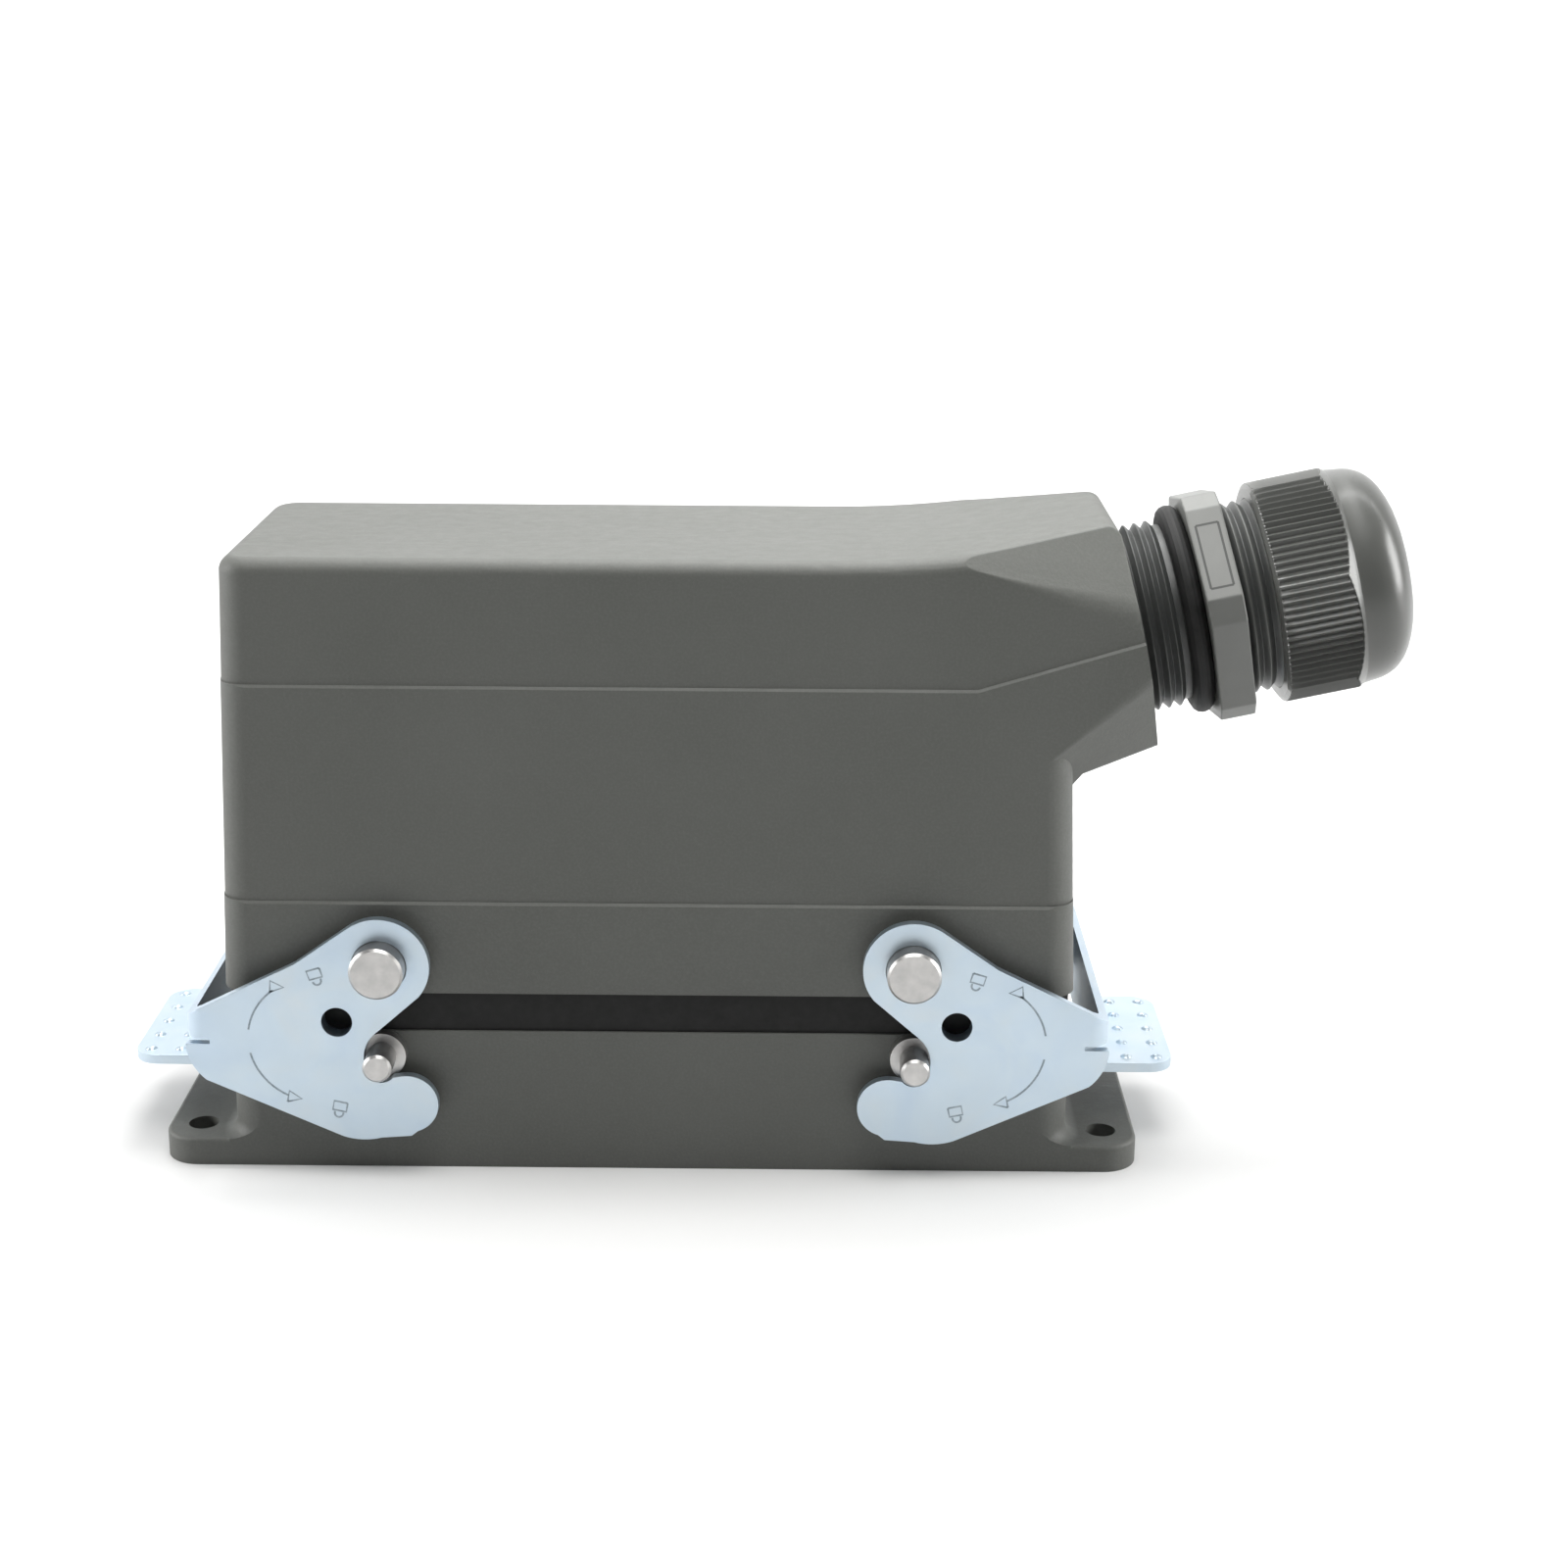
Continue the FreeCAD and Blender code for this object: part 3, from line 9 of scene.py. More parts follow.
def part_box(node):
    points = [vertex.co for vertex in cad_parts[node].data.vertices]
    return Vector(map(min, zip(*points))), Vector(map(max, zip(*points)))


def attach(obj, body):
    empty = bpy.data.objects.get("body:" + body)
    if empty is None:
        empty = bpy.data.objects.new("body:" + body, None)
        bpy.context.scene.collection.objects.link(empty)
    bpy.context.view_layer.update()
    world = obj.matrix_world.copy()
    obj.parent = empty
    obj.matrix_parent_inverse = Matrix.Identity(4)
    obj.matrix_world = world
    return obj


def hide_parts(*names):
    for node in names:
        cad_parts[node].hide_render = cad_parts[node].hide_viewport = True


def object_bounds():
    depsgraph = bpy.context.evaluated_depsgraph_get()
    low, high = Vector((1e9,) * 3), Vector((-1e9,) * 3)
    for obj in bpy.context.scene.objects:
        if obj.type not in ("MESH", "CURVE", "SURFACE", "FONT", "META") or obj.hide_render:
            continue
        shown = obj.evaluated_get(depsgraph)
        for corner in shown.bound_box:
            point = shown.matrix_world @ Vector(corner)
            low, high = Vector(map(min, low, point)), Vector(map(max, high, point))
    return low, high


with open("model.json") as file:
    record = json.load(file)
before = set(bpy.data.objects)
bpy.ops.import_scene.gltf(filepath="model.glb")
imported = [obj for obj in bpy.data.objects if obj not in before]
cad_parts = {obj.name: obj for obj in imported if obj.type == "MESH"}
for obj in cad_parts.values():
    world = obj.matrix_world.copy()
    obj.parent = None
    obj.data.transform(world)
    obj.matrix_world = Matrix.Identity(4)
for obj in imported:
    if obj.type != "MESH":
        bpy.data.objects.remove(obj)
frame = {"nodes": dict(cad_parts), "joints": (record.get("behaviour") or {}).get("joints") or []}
cad_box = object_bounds()

# Metres, in the part's own frame: X along the connector to the cable, Y to the back, Z up.
MM = 0.001
WELD_DISTANCE = 0.001 * MM
FLAT_ANGLE = math.radians(0.4)
SHARP_ANGLE = math.radians(28)

joints = {joint["name"]: joint for joint in frame["joints"]}
ENTRY_CENTRE = Vector(joints["gland_nut_turn"]["pos_m"])
ENTRY_AXIS = Vector(joints["gland_nut_turn"]["axis"]).normalized()
ACROSS = Vector((0, 1, 0))
ENTRY_UP = ENTRY_AXIS.cross(ACROSS)
LEVER_FACE_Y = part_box("lever_left")[0].y

# Camera: place and clipping in metres, angles in radians, lens and sensor in millimetres.
CAMERA_PLACE = (0.02073, -0.34234, 0.15910)
CAMERA_YAW = -0.0057
CAMERA_PITCH = 0.3055
CAMERA_ROLL = 0.0061
CAMERA_LENS = 56.66
CAMERA_SENSOR = 36.0
CAMERA_CLIP = (0.01, 20.0)

# Studio floor, in metres: its near edge, where it starts to curve up, the curve and the top.
FLOOR_HALF_WIDTH = 3.0
FLOOR_NEAR_Y = -2.5
FLOOR_FAR_Y = 0.55
FLOOR_SWEEP_R = 0.6
FLOOR_TOP_Z = 2.4
FLOOR_SWEEP_STEPS = 16
FLOOR_GAP = 0.02 * MM

# Soft lights: name, place, target, width and depth in metres, watts, colour.
SOFT_WHITE = (1.0, 1.0, 0.985)
SIDE_WHITE = (1.0, 1.0, 0.99)
PLAIN_WHITE = (1.0, 1.0, 1.0)
SOFT_LIGHTS = [
    ("overhead", (0.05, 0.0, 1.25), (0.0, 0.0, 0.0), 1.5, 1.2, 2.2, SOFT_WHITE),
    ("near_top", (0.02, 0.0, 0.30), (0.01, 0.0, 0.06), 0.4, 0.2, 1.25, SOFT_WHITE),
    ("backdrop_wash", (0.0, 0.35, 1.0), (0.0, 1.15, 0.45), 2.6, 0.5, 30.0, PLAIN_WHITE),
    ("side_strip", (-0.7, -0.02, 0.25), (0.02, 0.0, 0.05), 0.3, 0.4, 4.4, SIDE_WHITE),
    ("side_strip", (0.7, -0.02, 0.25), (0.02, 0.0, 0.05), 0.3, 0.4, 4.4, SIDE_WHITE),
]

# Even light from all round.
ROOM_TINT = (0.92, 0.95, 1.0, 1.0)
ROOM_STRENGTH = 0.05

# Soft edges, in metres, and how many facets round each one.
CAST_EDGE_R = 0.15 * MM
SHEET_EDGE_R = 0.22 * MM
PLASTIC_EDGE_R = 0.28 * MM
EDGE_STEPS = 2

# Signs on the levers: the first three sizes in metres, then millimetres and degrees.
MARK_HEIGHT = 0.015 * MM
MARK_ROOT = 0.1 * MM
MARK_WIDTH = 0.28 * MM
ARC_CENTRE = (-46.4, 20.9)
ARC_R = 9.3
ARC_SPANS = ((126, 170), (192, 244))
ARC_STEPS = 10
PADLOCK_BODY = [(-0.95, -1.2), (0.95, -1.2), (0.95, 0.15), (-0.95, 0.15), (-0.95, -1.2)]
SHACKLE_R = 0.6
SHACKLE_FOOT_Z = 0.35
SHACKLE_BOW_Z = 0.55
SHACKLE_STEPS = 8
ARROW_HEAD = [(-0.1, -0.85), (1.8, 0.0), (-0.1, 0.85), (-0.1, -0.85)]
ARROW_UP = (-52.1, 29.0, -4)
ARROW_DOWN = (-50.4, 12.4, -12)
SIGN_OPEN = (-45.8, 30.4, 197)
SIGN_CLOSED = (-43.4, 10.4, 168)

# How much lighter the flow marks of grey mouldings are.
FLOW_MARK_GAIN = 1.12

# Cable gland: stations along its axis and radii in millimetres, angles in degrees.
FRAME_FLAT_TURN = 40.0       # the wrench flat that faces up and forwards
HEX_APOTHEM = 15.8
HEX_MIDDLE = 11.9
HEX_EDGE_MIN_R = 14.2
THREAD_SHADE_R = (13.3, 13.9)  # painted shade: the dark painted into the recessed threads gives way to the flats' grey
FRAME_HALF = (1.55, 4.9)
FRAME_RISE = 0.4
FRAME_LINE = 0.32
NUT_START = 19.0
NUT_FLAT_R = 15.75
NUT_CORNER_R = 16.62
NUT_TURN = 15.0
SAME_STATION = 1e-6
NUT_BOW = 2.2                # how sharply the bowed sides rise to the corners
LEAD_IN = [(0.0, 0.75), (0.35, 0.1)]    # past the barrel's near end, and below its side
RIBS_START = 0.6             # past the barrel's near end
RIB_ENDS = (28.75, 29.85)    # at the barrel's corners and in the middle of its sides
RIB_FADE = 0.15
CONE = [(28.6, 16.74), (29.9, 15.69), (30.3, 15.42), (30.7, 15.33)]
DOME = [(31.6, 15.2), (32.4, 15.12), (33.2, 15.0), (33.9, 14.8), (34.5, 14.55), (35.15, 14.2),
        (35.7, 13.75), (36.2, 13.28), (36.6, 12.75), (37.0, 12.15), (37.3, 11.55), (37.6, 10.95),
        (37.8, 10.4), (38.0, 9.9), (38.1, 9.5)]
NUT_INSIDE = [(38.25, 9.0), (36.25, 9.0), (33.9, 13.0), (28.9, 13.0), (28.4, 13.68), (19.0, 13.68)]
RIB_COUNT = 92
RIB_STEPS = 6
BARREL_ROWS = 6
CONE_ROWS = 21
RIB_DEPTH = 0.5
RIB_ROUNDNESS = 0.8


# ---------------------------------------------------------------- camera and light
def look_rotation(yaw, pitch, roll):
    """Camera axes from a heading off +Y, a downward pitch and a roll, all in radians."""
    ahead = Vector((math.sin(yaw) * math.cos(pitch), math.cos(yaw) * math.cos(pitch),
                    -math.sin(pitch)))
    level_right = Vector((math.cos(yaw), -math.sin(yaw), 0))
    level_up = level_right.cross(ahead)
    right = math.cos(roll) * level_right + math.sin(roll) * level_up
    up = math.cos(roll) * level_up - math.sin(roll) * level_right
    return Matrix((right, up, -ahead)).transposed().to_4x4()


def camera():
    data = bpy.data.cameras.new("camera")
    data.sensor_width = CAMERA_SENSOR
    data.lens = CAMERA_LENS
    data.clip_start, data.clip_end = CAMERA_CLIP
    made = bpy.data.objects.new("camera", data)
    bpy.context.scene.collection.objects.link(made)
    aim = look_rotation(CAMERA_YAW, CAMERA_PITCH, CAMERA_ROLL)
    made.matrix_world = Matrix.Translation(CAMERA_PLACE) @ aim
    bpy.context.scene.camera = made


def soft_light(name, place, target, width, depth, watts, colour):
    data = bpy.data.lights.new(name, "AREA")
    data.shape = "RECTANGLE"
    data.size = width
    data.size_y = depth
    data.energy = watts
    data.color = colour
    made = bpy.data.objects.new(name, data)
    bpy.context.scene.collection.objects.link(made)
    aim = (Vector(target) - Vector(place)).to_track_quat("-Z", "Y")
    made.matrix_world = Matrix.Translation(place) @ aim.to_matrix().to_4x4()
    made.visible_camera = False


def studio():
    """White floor that curves up behind, soft lights above and beside, and a lit backdrop."""
    shape = bmesh.new()
    outline = [(FLOOR_NEAR_Y, 0.0), (FLOOR_FAR_Y, 0.0)]
    for step in range(1, FLOOR_SWEEP_STEPS + 1):
        turn = math.radians(90 * step / FLOOR_SWEEP_STEPS)
        outline.append((FLOOR_FAR_Y + FLOOR_SWEEP_R * math.sin(turn),
                        FLOOR_SWEEP_R - FLOOR_SWEEP_R * math.cos(turn)))
    outline.append((FLOOR_FAR_Y + FLOOR_SWEEP_R, FLOOR_TOP_Z))
    rows = [[shape.verts.new((x, y, z)) for x in (-FLOOR_HALF_WIDTH, FLOOR_HALF_WIDTH)]
            for y, z in outline]
    for low, high in zip(rows, rows[1:]):
        shape.faces.new((low[0], low[1], high[1], high[0]))
    floor = new_object("studio_floor", shape, [floor_material()])
    floor.location.z = cad_box[0].z - FLOOR_GAP
    for light in SOFT_LIGHTS:
        soft_light(*light)
    world = bpy.data.worlds.new("studio_world")
    world.use_nodes = True
    background = world.node_tree.nodes["Background"]
    background.inputs["Color"].default_value = ROOM_TINT
    background.inputs["Strength"].default_value = ROOM_STRENGTH
    bpy.context.scene.world = world
    bpy.context.scene.view_settings.view_transform = "Standard"


# ---------------------------------------------------------------- materials
class Nodes:
    """Short names for building one material's node tree."""

    def __init__(self, name):
        self.material = bpy.data.materials.new(name)
        self.material.use_nodes = True
        self.tree = self.material.node_tree
        self.shader = self.tree.nodes["Principled BSDF"]
        self.place = self.tree.nodes.new("ShaderNodeTexCoord").outputs["Object"]

    def constants(self, **values):
        for name, value in values.items():
            self.shader.inputs[name.replace("_", " ")].default_value = value

    def link(self, source, target):
        self.tree.links.new(source, target)

    def noise(self, per_mm, detail, roughness=0.5, stretch=(1, 1, 1), distortion=0.0):
        mapping = self.tree.nodes.new("ShaderNodeMapping")
        mapping.inputs["Scale"].default_value = stretch
        self.link(self.place, mapping.inputs["Vector"])
        made = self.tree.nodes.new("ShaderNodeTexNoise")
        made.inputs["Scale"].default_value = per_mm / MM
        made.inputs["Detail"].default_value = detail
        made.inputs["Roughness"].default_value = roughness
        made.inputs["Distortion"].default_value = distortion
        self.link(mapping.outputs["Vector"], made.inputs["Vector"])
        return made.outputs["Fac"]

    def spots(self, per_mm):
        made = self.tree.nodes.new("ShaderNodeTexVoronoi")
        made.inputs["Scale"].default_value = per_mm / MM
        made.inputs["Randomness"].default_value = 1.0
        self.link(self.place, made.inputs["Vector"])
        return made.outputs["Distance"]

    def ramp(self, factor, *stops):
        """Colour ramp through (position, colour) stops; a colour is a number or an RGB triple."""
        made = self.tree.nodes.new("ShaderNodeValToRGB")
        points = made.color_ramp.elements
        while len(points) < len(stops):
            points.new(0.5)
        for point, (position, colour) in zip(points, stops):
            point.position = position
            tone = (colour,) * 3 if isinstance(colour, (int, float)) else colour
            point.color = (*tone, 1.0)
        self.link(factor, made.inputs["Fac"])
        return made.outputs["Color"]

    def mix(self, factor, first, second):
        """Blend of two colours, each an RGB triple or another node's output."""
        made = self.tree.nodes.new("ShaderNodeMix")
        made.data_type = "RGBA"
        self.link(factor, made.inputs["Factor"])
        for socket, colour in ((made.inputs["A"], first), (made.inputs["B"], second)):
            if isinstance(colour, tuple):
                socket.default_value = (*colour, 1.0)
            else:
                self.link(colour, socket)
        return made.outputs["Result"]

    def span(self, factor, low, high):
        """Number between low and high, led by a 0 to 1 factor."""
        made = self.tree.nodes.new("ShaderNodeMapRange")
        made.inputs["To Min"].default_value = low
        made.inputs["To Max"].default_value = high
        self.link(factor, made.inputs["Value"])
        return made.outputs["Result"]

    def axis_distance(self, near, far):
        """Factor that rises from 0 to 1 between two distances from the cable axis, in metres."""
        offset = self.tree.nodes.new("ShaderNodeVectorMath")
        offset.operation = "SUBTRACT"
        offset.inputs[1].default_value = ENTRY_CENTRE
        self.link(self.place, offset.inputs[0])
        across = self.tree.nodes.new("ShaderNodeVectorMath")
        across.operation = "CROSS_PRODUCT"
        across.inputs[1].default_value = ENTRY_AXIS
        self.link(offset.outputs["Vector"], across.inputs[0])
        length = self.tree.nodes.new("ShaderNodeVectorMath")
        length.operation = "LENGTH"
        self.link(across.outputs["Vector"], length.inputs[0])
        made = self.tree.nodes.new("ShaderNodeMapRange")
        made.inputs["From Min"].default_value = near
        made.inputs["From Max"].default_value = far
        self.link(length.outputs["Value"], made.inputs["Value"])
        return made.outputs["Result"]

    def bump(self, height, depth_mm, strength, below=None):
        made = self.tree.nodes.new("ShaderNodeBump")
        made.inputs["Strength"].default_value = strength
        made.inputs["Distance"].default_value = depth_mm * MM
        self.link(height, made.inputs["Height"])
        if below is not None:
            self.link(below, made.inputs["Normal"])
        return made.outputs["Normal"]

    def done(self, colour, roughness, normal=None):
        self.link(colour, self.shader.inputs["Base Color"])
        self.link(roughness, self.shader.inputs["Roughness"])
        if normal is not None:
            self.link(normal, self.shader.inputs["Normal"])
        return self.material


def floor_material():
    made = Nodes("studio_floor")
    made.constants(Specular_IOR_Level=0.2)
    drift = made.noise(0.002, 2.0)
    return made.done(made.ramp(drift, (0.3, 0.71), (0.7, 0.73)), made.span(drift, 0.85, 0.95))


def cast_coat():
    """Fine-textured matt powder coat over a slightly uneven die casting."""
    made = Nodes("cast_grey_coating")
    made.constants(IOR=1.5, Specular_IOR_Level=0.5)
    grain = made.noise(2.6, 3.0, 0.6)
    cast = made.noise(0.13, 3.0, 0.6, stretch=(0.45, 1.0, 1.0), distortion=0.4)
    drift = made.noise(0.03, 2.0)
    base = made.ramp(drift, (0.3, (0.088, 0.091, 0.083)), (0.7, (0.098, 0.101, 0.093)))
    speckled = made.mix(made.ramp(grain, (0.42, 0.0), (0.75, 0.35)), base, (0.133, 0.137, 0.127))
    normal = made.bump(cast, 0.22, 0.75)
    normal = made.bump(grain, 0.035, 0.8, below=normal)
    return made.done(speckled, made.span(made.noise(0.5, 3.0), 0.50, 0.66), normal)


def zinc_plate():
    """Bright blue-passivated zinc over rolled sheet, with faint clouds in the passivation."""
    made = Nodes("zinc_plated_sheet")
    made.constants(Metallic=1.0)
    cloud = made.noise(0.09, 3.0, 0.6, distortion=0.6)
    colour = made.ramp(cloud, (0.25, (0.485, 0.585, 0.69)), (0.5, (0.525, 0.615, 0.69)),
                       (0.8, (0.56, 0.62, 0.66)))
    rolled = made.noise(1.5, 3.0, 0.6, stretch=(0.15, 1.0, 1.0))
    spangle = made.spots(0.7)
    normal = made.bump(rolled, 0.006, 0.5)
    normal = made.bump(spangle, 0.004, 0.3, below=normal)
    return made.done(colour, made.span(made.noise(0.25, 4.0, 0.6), 0.33, 0.46), normal)


def etched_zinc():
    """The darker, duller metal of the etched signs."""
    made = Nodes("etched_zinc")
    made.constants(Metallic=0.9)
    worn = made.noise(1.1, 4.0, 0.7)
    return made.done(made.ramp(worn, (0.3, (0.20, 0.25, 0.29)), (0.75, (0.42, 0.48, 0.53))),
                     made.span(worn, 0.45, 0.65), made.bump(worn, 0.01, 0.5))


def turned_steel():
    """Nickel-plated turned studs with a little grain and drift in tone."""
    made = Nodes("bright_stud_steel")
    made.constants(Metallic=1.0)
    grain = made.noise(1.8, 4.0, 0.65)
    colour = made.ramp(made.noise(0.5, 3.0), (0.3, (0.43, 0.425, 0.42)), (0.7, (0.55, 0.54, 0.53)))
    normal = made.bump(grain, 0.02, 0.5)
    return made.done(colour, made.span(grain, 0.26, 0.5), normal)


def black_rubber():
    made = Nodes("black_rubber")
    made.constants(IOR=1.45, Specular_IOR_Level=0.35)
    dust = made.noise(0.4, 4.0, 0.65)
    colour = made.ramp(dust, (0.35, 0.006), (0.75, 0.015))
    normal = made.bump(made.noise(1.4, 3.0), 0.015, 0.6)
    return made.done(colour, made.span(dust, 0.52, 0.72), normal)


def gland_body_plastic():
    """Grey polyamide, darker in the threads than on the wrench flats: painted shade in the recessed
    threads.
    """
    made = Nodes("gland_plastic")
    made.constants(IOR=1.53)
    flow = made.noise(0.06, 3.0, 0.55, distortion=1.2)
    grain = made.noise(1.6, 3.0, 0.6)
    flats = made.ramp(flow, (0.3, (0.128, 0.131, 0.124)), (0.75, (0.143, 0.147, 0.139)))
    # Painted shade: the threads lie nearer the cable axis than the flats and get a much darker
    # grey.
    painted_thread_shade = made.axis_distance(THREAD_SHADE_R[0] * MM, THREAD_SHADE_R[1] * MM)
    colour = made.mix(painted_thread_shade, (0.040, 0.042, 0.041), flats)
    normal = made.bump(flow, 0.05, 0.3)
    normal = made.bump(grain, 0.008, 0.6, below=normal)
    return made.done(colour, made.span(grain, 0.36, 0.5), normal)


def moulded_grey(name, tone, rough_low, rough_high):
    """Grey polyamide with a faint mould grain and flow marks."""
    made = Nodes(name)
    made.constants(IOR=1.53)
    flow = made.noise(0.06, 3.0, 0.55, distortion=1.2)
    grain = made.noise(1.6, 3.0, 0.6)
    light = tuple(channel * FLOW_MARK_GAIN for channel in tone)
    normal = made.bump(flow, 0.05, 0.3)
    normal = made.bump(grain, 0.008, 0.6, below=normal)
    return made.done(made.ramp(flow, (0.3, tone), (0.75, light)),
                     made.span(grain, rough_low, rough_high), normal)


def fibre_plastic():
    """Light glass-filled moulding of the contact inserts, with short fibres showing."""
    made = Nodes("insert_plastic")
    made.constants(IOR=1.55)
    fibre = made.noise(1.2, 3.0, 0.7, stretch=(1.0, 1.0, 0.25))
    colour = made.ramp(fibre, (0.35, (0.52, 0.515, 0.48)), (0.62, (0.60, 0.595, 0.56)),
                       (0.8, (0.68, 0.675, 0.64)))
    return made.done(colour, made.span(fibre, 0.45, 0.6), made.bump(fibre, 0.01, 0.5))


def plated_metal(name, dark, bright, rough_low, rough_high):
    """Plated small metal parts with tiny tool marks and a drift in tone."""
    made = Nodes(name)
    made.constants(Metallic=1.0)
    marks = made.noise(2.2, 3.0, 0.6, stretch=(1.0, 1.0, 0.2))
    drift = made.noise(0.25, 3.0)
    return made.done(made.ramp(drift, (0.3, dark), (0.7, bright)),
                     made.span(marks, rough_low, rough_high), made.bump(marks, 0.008, 0.5))


def library():
    return {
        "cast_grey_coating": cast_coat(),
        "zinc_plated_sheet": zinc_plate(),
        "etched_zinc": etched_zinc(),
        "bright_stud_steel": turned_steel(),
        "black_rubber": black_rubber(),
        "insert_plastic": fibre_plastic(),
        "silvered_contact": plated_metal("silvered_contact", (0.80, 0.79, 0.76), (0.90, 0.89, 0.87),
                                         0.2, 0.34),
        "screw_steel": plated_metal("screw_steel", (0.62, 0.63, 0.63), (0.72, 0.73, 0.74),
                                    0.28, 0.45),
        "gland_plastic": gland_body_plastic(),
        "gland_nut_plastic": moulded_grey("gland_nut_plastic", (0.080, 0.082, 0.077), 0.24, 0.36),
        "frame_shadow": moulded_grey("frame_shadow", (0.035, 0.036, 0.034), 0.5, 0.6),
    }


# ---------------------------------------------------------------- mesh helpers
def new_object(name, shape, coats):
    """Turns a bmesh into a smooth-shaded object with creases where the surface is sharp."""
    mesh = bpy.data.meshes.new(name)
    bmesh.ops.recalc_face_normals(shape, faces=shape.faces)
    shape.to_mesh(mesh)
    shape.free()
    for material in coats:
        mesh.materials.append(material)
    mesh.shade_smooth()
    mesh.set_sharp_from_angle(angle=SHARP_ANGLE)
    made = bpy.data.objects.new(name, mesh)
    bpy.context.scene.collection.objects.link(made)
    return made


def solid_of(node):
    """A CAD node's solid as a bmesh: welded, with its flat faces whole again."""
    shape = bmesh.new()
    shape.from_mesh(frame["nodes"][node].data)
    bmesh.ops.remove_doubles(shape, verts=shape.verts, dist=WELD_DISTANCE)
    bmesh.ops.dissolve_limit(shape, angle_limit=FLAT_ANGLE, verts=shape.verts, edges=shape.edges)
    for face in shape.faces:
        face.material_index = 0
    return shape


def soften_edges(shape, radius, wanted=None):
    """Rounds the solid's sharp edges by a small radius."""
    sharp = [edge for edge in shape.edges
             if len(edge.link_faces) == 2 and edge.calc_face_angle(0) > SHARP_ANGLE
             and (wanted is None or wanted(edge))]
    bmesh.ops.bevel(shape, geom=sharp, offset=radius, segments=EDGE_STEPS, profile=0.5,
                    affect="EDGES", clamp_overlap=True)


def stand_in(node, name, shape, body, slot):
    """Shows a finished mesh in place of its CAD node."""
    made = new_object(name, shape, [materials[slot]])
    settle = made.modifiers.new("even_normals", "WEIGHTED_NORMAL")
    settle.keep_sharp = True
    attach(made, body)
    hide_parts(node)


# ---------------------------------------------------------------- cast hood and housing
def cast_parts():
    for node in ("hood", "base_housing"):
        shape = solid_of(node)
        soften_edges(shape, CAST_EDGE_R)
        stand_in(node, node + "_casting", shape, "connector", "cast_grey_coating")


# ---------------------------------------------------------------- locking levers
def stroke(shape, points, width, y_low, y_high):
    """Adds a flat-ended bar of even width that follows an open line drawn in the XZ plane."""
    line = [Vector(point) for point in points]
    edges = []
    for i, point in enumerate(line):
        ahead = (line[min(i + 1, len(line) - 1)] - line[max(i - 1, 0)]).normalized()
        aside = Vector((-ahead.y, ahead.x)) * width / 2
        edges.append((point + aside, point - aside))
    rings = []
    for left, right in edges:
        places = ((left, y_low), (left, y_high), (right, y_high), (right, y_low))
        rings.append([shape.verts.new((corner.x, y, corner.y)) for corner, y in places])
    for low, high in zip(rings, rings[1:]):
        for k in range(4):
            shape.faces.new((low[k], low[(k + 1) % 4], high[(k + 1) % 4], high[k]))
    shape.faces.new(rings[0])
    shape.faces.new(list(reversed(rings[-1])))


def arc_points(centre, radius, start, end, count):
    """Points on an arc in the XZ plane, from one angle to another in degrees."""
    points = []
    for i in range(count + 1):
        angle = math.radians(start + (end - start) * i / count)
        points.append((centre[0] + radius * math.cos(angle), centre[1] + radius * math.sin(angle)))
    return points


def placed(points, place, turn):
    """Metres from sign points in their own millimetres, turned by degrees and set at a place."""
    c, s = math.cos(math.radians(turn)), math.sin(math.radians(turn))
    return [((place[0] + c * x - s * z) * MM, (place[1] + s * x + c * z) * MM) for x, z in points]


def padlock(opened):
    """Lines of a small padlock sign, open or closed, about 2.4 mm tall."""
    shackle = [(-SHACKLE_R, SHACKLE_FOOT_Z)]
    shackle += arc_points((0.0, SHACKLE_BOW_Z), SHACKLE_R, 180, 0, SHACKLE_STEPS)
    if not opened:
        shackle.append((SHACKLE_R, SHACKLE_FOOT_Z))
    return [PADLOCK_BODY, shackle]


def lever_marks():
    """Signs on the left lever's front: a double-headed arc and two padlocks."""
    shape = bmesh.new()
    y_low, y_high = LEVER_FACE_Y - MARK_HEIGHT, LEVER_FACE_Y + MARK_ROOT
    lines = []
    for start, end in ARC_SPANS:
        lines.append(placed(arc_points((0, 0), ARC_R, start, end, ARC_STEPS), ARC_CENTRE, 0))
    for x, z, turn in (ARROW_UP, ARROW_DOWN):
        lines.append(placed(ARROW_HEAD, (x, z), turn))
    for (x, z, turn), opened in ((SIGN_OPEN, True), (SIGN_CLOSED, False)):
        for line in padlock(opened):
            lines.append(placed(line, (x, z), turn))
    for line in lines:
        stroke(shape, line, MARK_WIDTH, y_low, y_high)
    return shape


def levers():
    for side, flip in (("left", 1), ("right", -1)):
        node = "lever_" + side
        shape = solid_of(node)
        soften_edges(shape, SHEET_EDGE_R)
        stand_in(node, node + "_sheet", shape, node, "zinc_plated_sheet")
        marks = lever_marks()
        bmesh.ops.scale(marks, vec=(flip, 1, 1), verts=marks.verts)
        signs = new_object(node + "_signs", marks, [materials["etched_zinc"]])
        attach(signs, node)


# ---------------------------------------------------------------- cable gland
def entry_point(station, radius, angle):
    """Point round the cable axis; the angle rises from the level front, in radians."""
    return (ENTRY_CENTRE + ENTRY_AXIS * station + ENTRY_UP * (radius * math.sin(angle))
            - ACROSS * (radius * math.cos(angle)))


def turned_ring(columns, rows, radius_at):
    """Closed ring: rows go round the profile and columns round the cable axis."""
    shape = bmesh.new()
    grid = []
    for column in range(columns):
        angle = 2 * math.pi * column / columns
        grid.append([shape.verts.new(entry_point(station, radius_at(row, column, angle), angle))
                     for row, (station, _) in enumerate(rows)])
    for column in range(columns):
        here, there = grid[column], grid[(column + 1) % columns]
        for row in range(len(rows)):
            after = (row + 1) % len(rows)
            shape.faces.new((here[row], there[row], there[after], here[after]))
    return shape


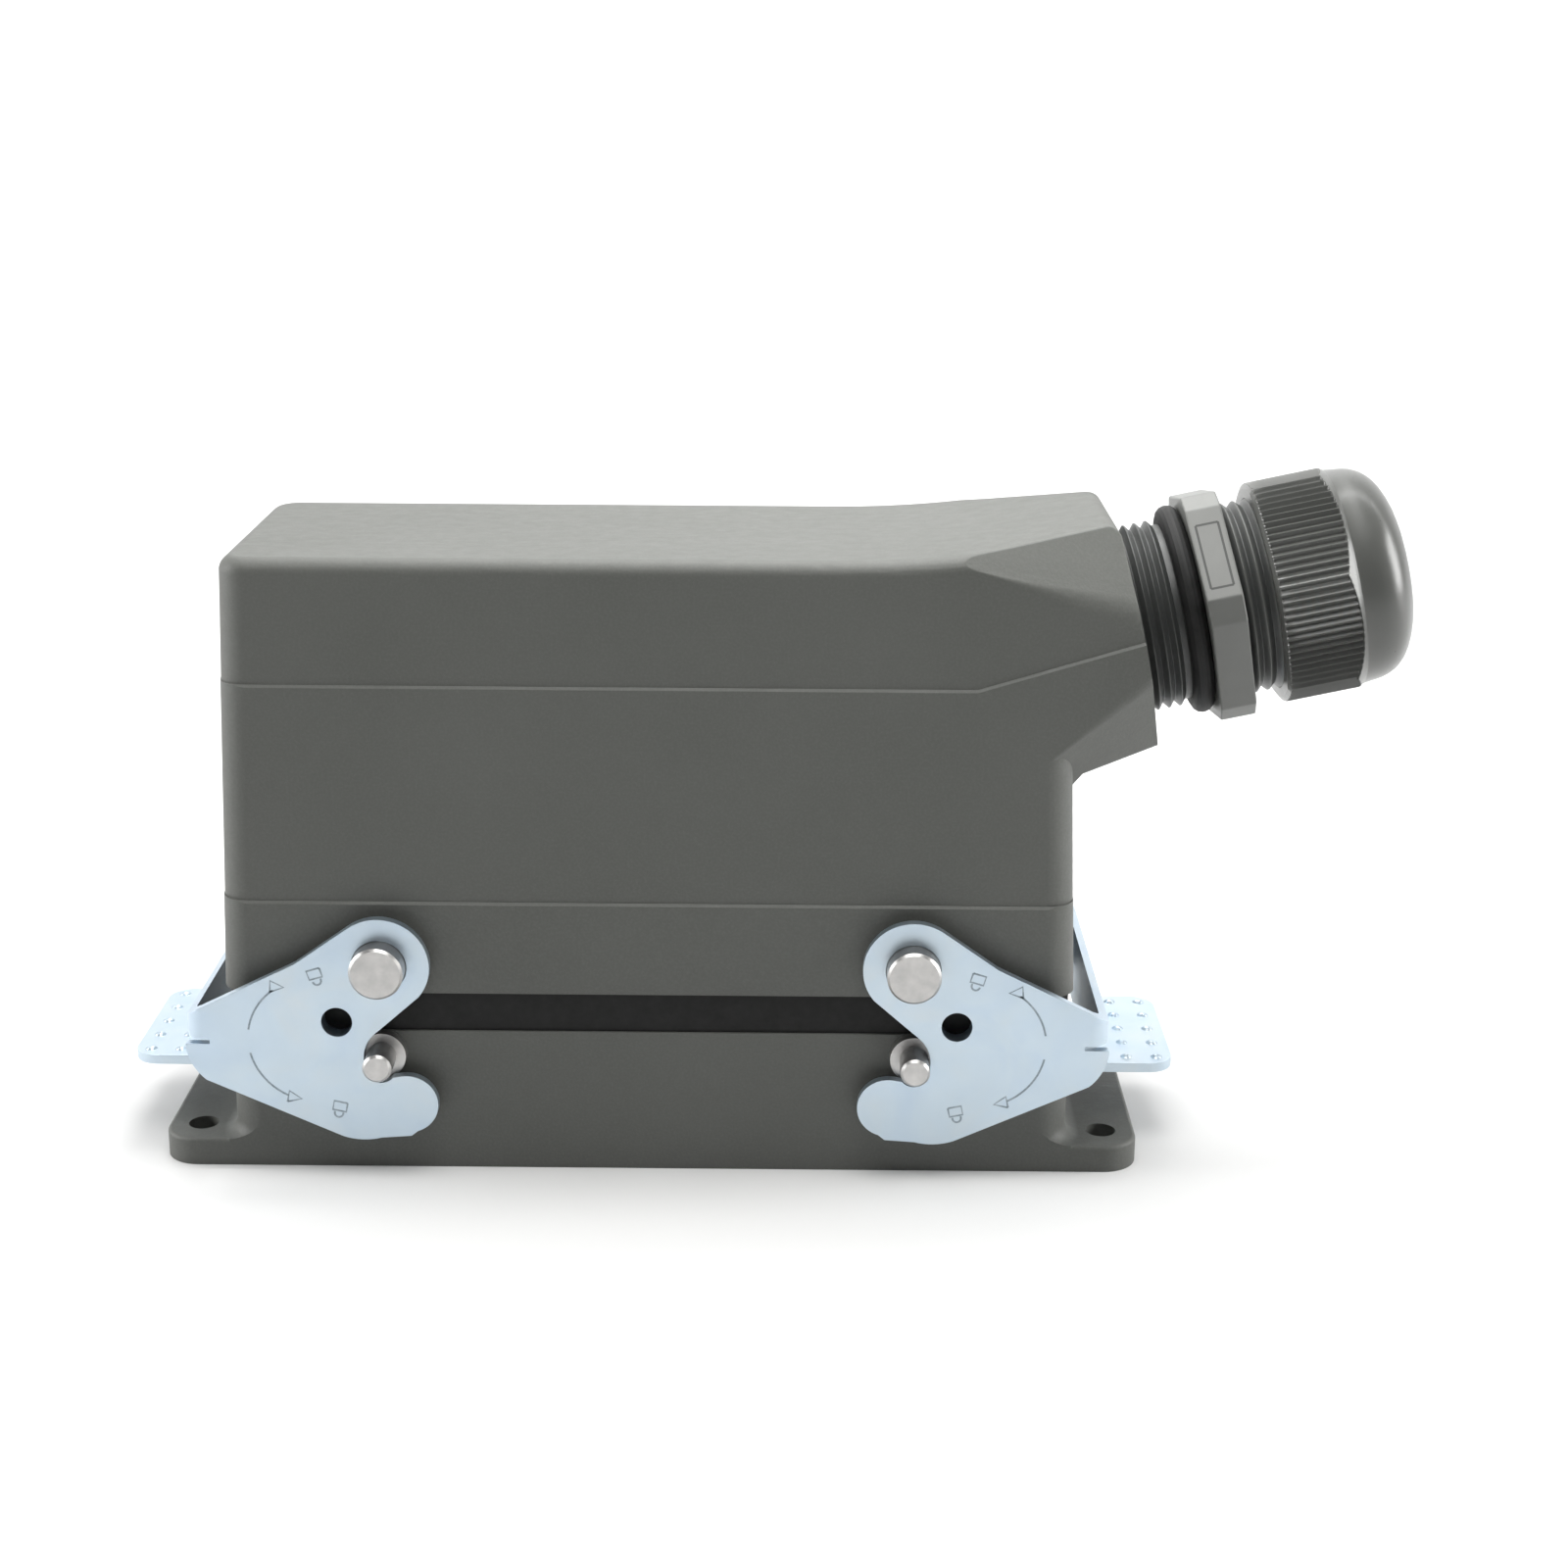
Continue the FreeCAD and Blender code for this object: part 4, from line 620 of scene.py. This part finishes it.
def nut_side_radius(angle):
    """Six bowed sides between rounded corners, in millimetres."""
    sixth = math.pi / 3
    turn = (angle - math.radians(NUT_TURN)) % sixth
    from_middle = abs(turn - sixth / 2) / (sixth / 2)
    return NUT_FLAT_R + (NUT_CORNER_R - NUT_FLAT_R) * from_middle ** NUT_BOW


def cone_radius(station):
    """Radius of the smooth cone between the ribs and the dome."""
    for (low, low_r), (high, high_r) in zip(CONE, CONE[1:]):
        if station <= high:
            return low_r + (high_r - low_r) * (station - low) / (high - low)
    return CONE[-1][1]


def ribbed_radius(station, angle, groove):
    """Barrel radius: grip grooves that end along a scalloped line, then the cone."""
    side = nut_side_radius(angle)
    for past_start, below_side in LEAD_IN:
        if abs(station - NUT_START - past_start) < SAME_STATION:
            return side - below_side
    corner_share = (side - NUT_FLAT_R) / (NUT_CORNER_R - NUT_FLAT_R)
    rib_end = RIB_ENDS[1] + (RIB_ENDS[0] - RIB_ENDS[1]) * corner_share
    fade = min(1.0, max(0.0, (rib_end - station) / RIB_FADE))
    return min(side, cone_radius(station)) - RIB_DEPTH * groove * fade


def ribbed_nut():
    """Dome nut with fine grip ribs that end in a scalloped edge under the smooth dome."""
    ribs_start = NUT_START + RIBS_START
    lead_in = [NUT_START + past_start for past_start, _ in LEAD_IN]
    barrel = [ribs_start + (CONE[0][0] - ribs_start) * i / BARREL_ROWS
              for i in range(BARREL_ROWS + 1)]
    cone = [CONE[0][0] + (CONE[-1][0] - CONE[0][0]) * i / CONE_ROWS
            for i in range(1, CONE_ROWS + 1)]
    rows = [(station * MM, None) for station in lead_in + barrel + cone]
    rows += [(station * MM, radius * MM) for station, radius in DOME + NUT_INSIDE]

    def radius_at(row, column, angle):
        station, radius = rows[row]
        if radius is not None:
            return radius
        phase = (column % RIB_STEPS) / RIB_STEPS
        groove = (0.5 - 0.5 * math.cos(2 * math.pi * phase)) ** RIB_ROUNDNESS
        return ribbed_radius(station / MM, angle, groove) * MM

    shape = turned_ring(RIB_COUNT * RIB_STEPS, rows, radius_at)
    stand_in("gland_nut", "gland_dome_nut", shape, "gland_nut", "gland_nut_plastic")


def hexagon_edge(edge):
    """True for an edge of the wrench flats, which stand above the threads."""
    return all((vert.co - ENTRY_CENTRE).cross(ENTRY_AXIS).length > HEX_EDGE_MIN_R * MM
               for vert in edge.verts)


def gland_body():
    """Threaded body with softened wrench flats."""
    shape = solid_of("gland_body")
    soften_edges(shape, PLASTIC_EDGE_R, wanted=hexagon_edge)
    stand_in("gland_body", "gland_threaded_body", shape, "connector", "gland_plastic")


def gland_frame_mark():
    """Blank moulded frame on the wrench flat that faces up and forwards."""
    shape = bmesh.new()
    half_along, half_round = FRAME_HALF
    corners = [(-half_along, -half_round), (half_along, -half_round),
               (half_along, half_round), (-half_along, half_round)]
    for first, second in zip(corners, corners[1:] + corners[:1]):
        stroke(shape, [first, second], FRAME_LINE, -MARK_ROOT / MM, MARK_HEIGHT / MM)
    flat_angle = math.radians(FRAME_FLAT_TURN)
    out = ENTRY_UP * math.sin(flat_angle) - ACROSS * math.cos(flat_angle)
    round_way = ENTRY_AXIS.cross(out)
    centre = (ENTRY_CENTRE + ENTRY_AXIS * HEX_MIDDLE * MM + out * HEX_APOTHEM * MM
              + round_way * FRAME_RISE * MM)
    turn = Matrix((ENTRY_AXIS, out, round_way)).transposed().to_4x4()
    bmesh.ops.transform(shape, matrix=Matrix.Translation(centre) @ turn @ Matrix.Scale(MM, 4),
                        verts=shape.verts)
    mark = new_object("gland_frame_mark", shape, [materials["frame_shadow"]])
    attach(mark, "connector")


# ---------------------------------------------------------------- the rest keeps its CAD mesh
def finish_cad_nodes():
    """Gives every CAD node still in view the library's material of the same name."""
    for made in frame["nodes"].values():
        if not made.hide_render:
            for place in made.material_slots:
                place.material = materials[place.material.name.split(".")[0]]


materials = library()
camera()
studio()
cast_parts()
levers()
gland_body()
gland_frame_mark()
ribbed_nut()
finish_cad_nodes()
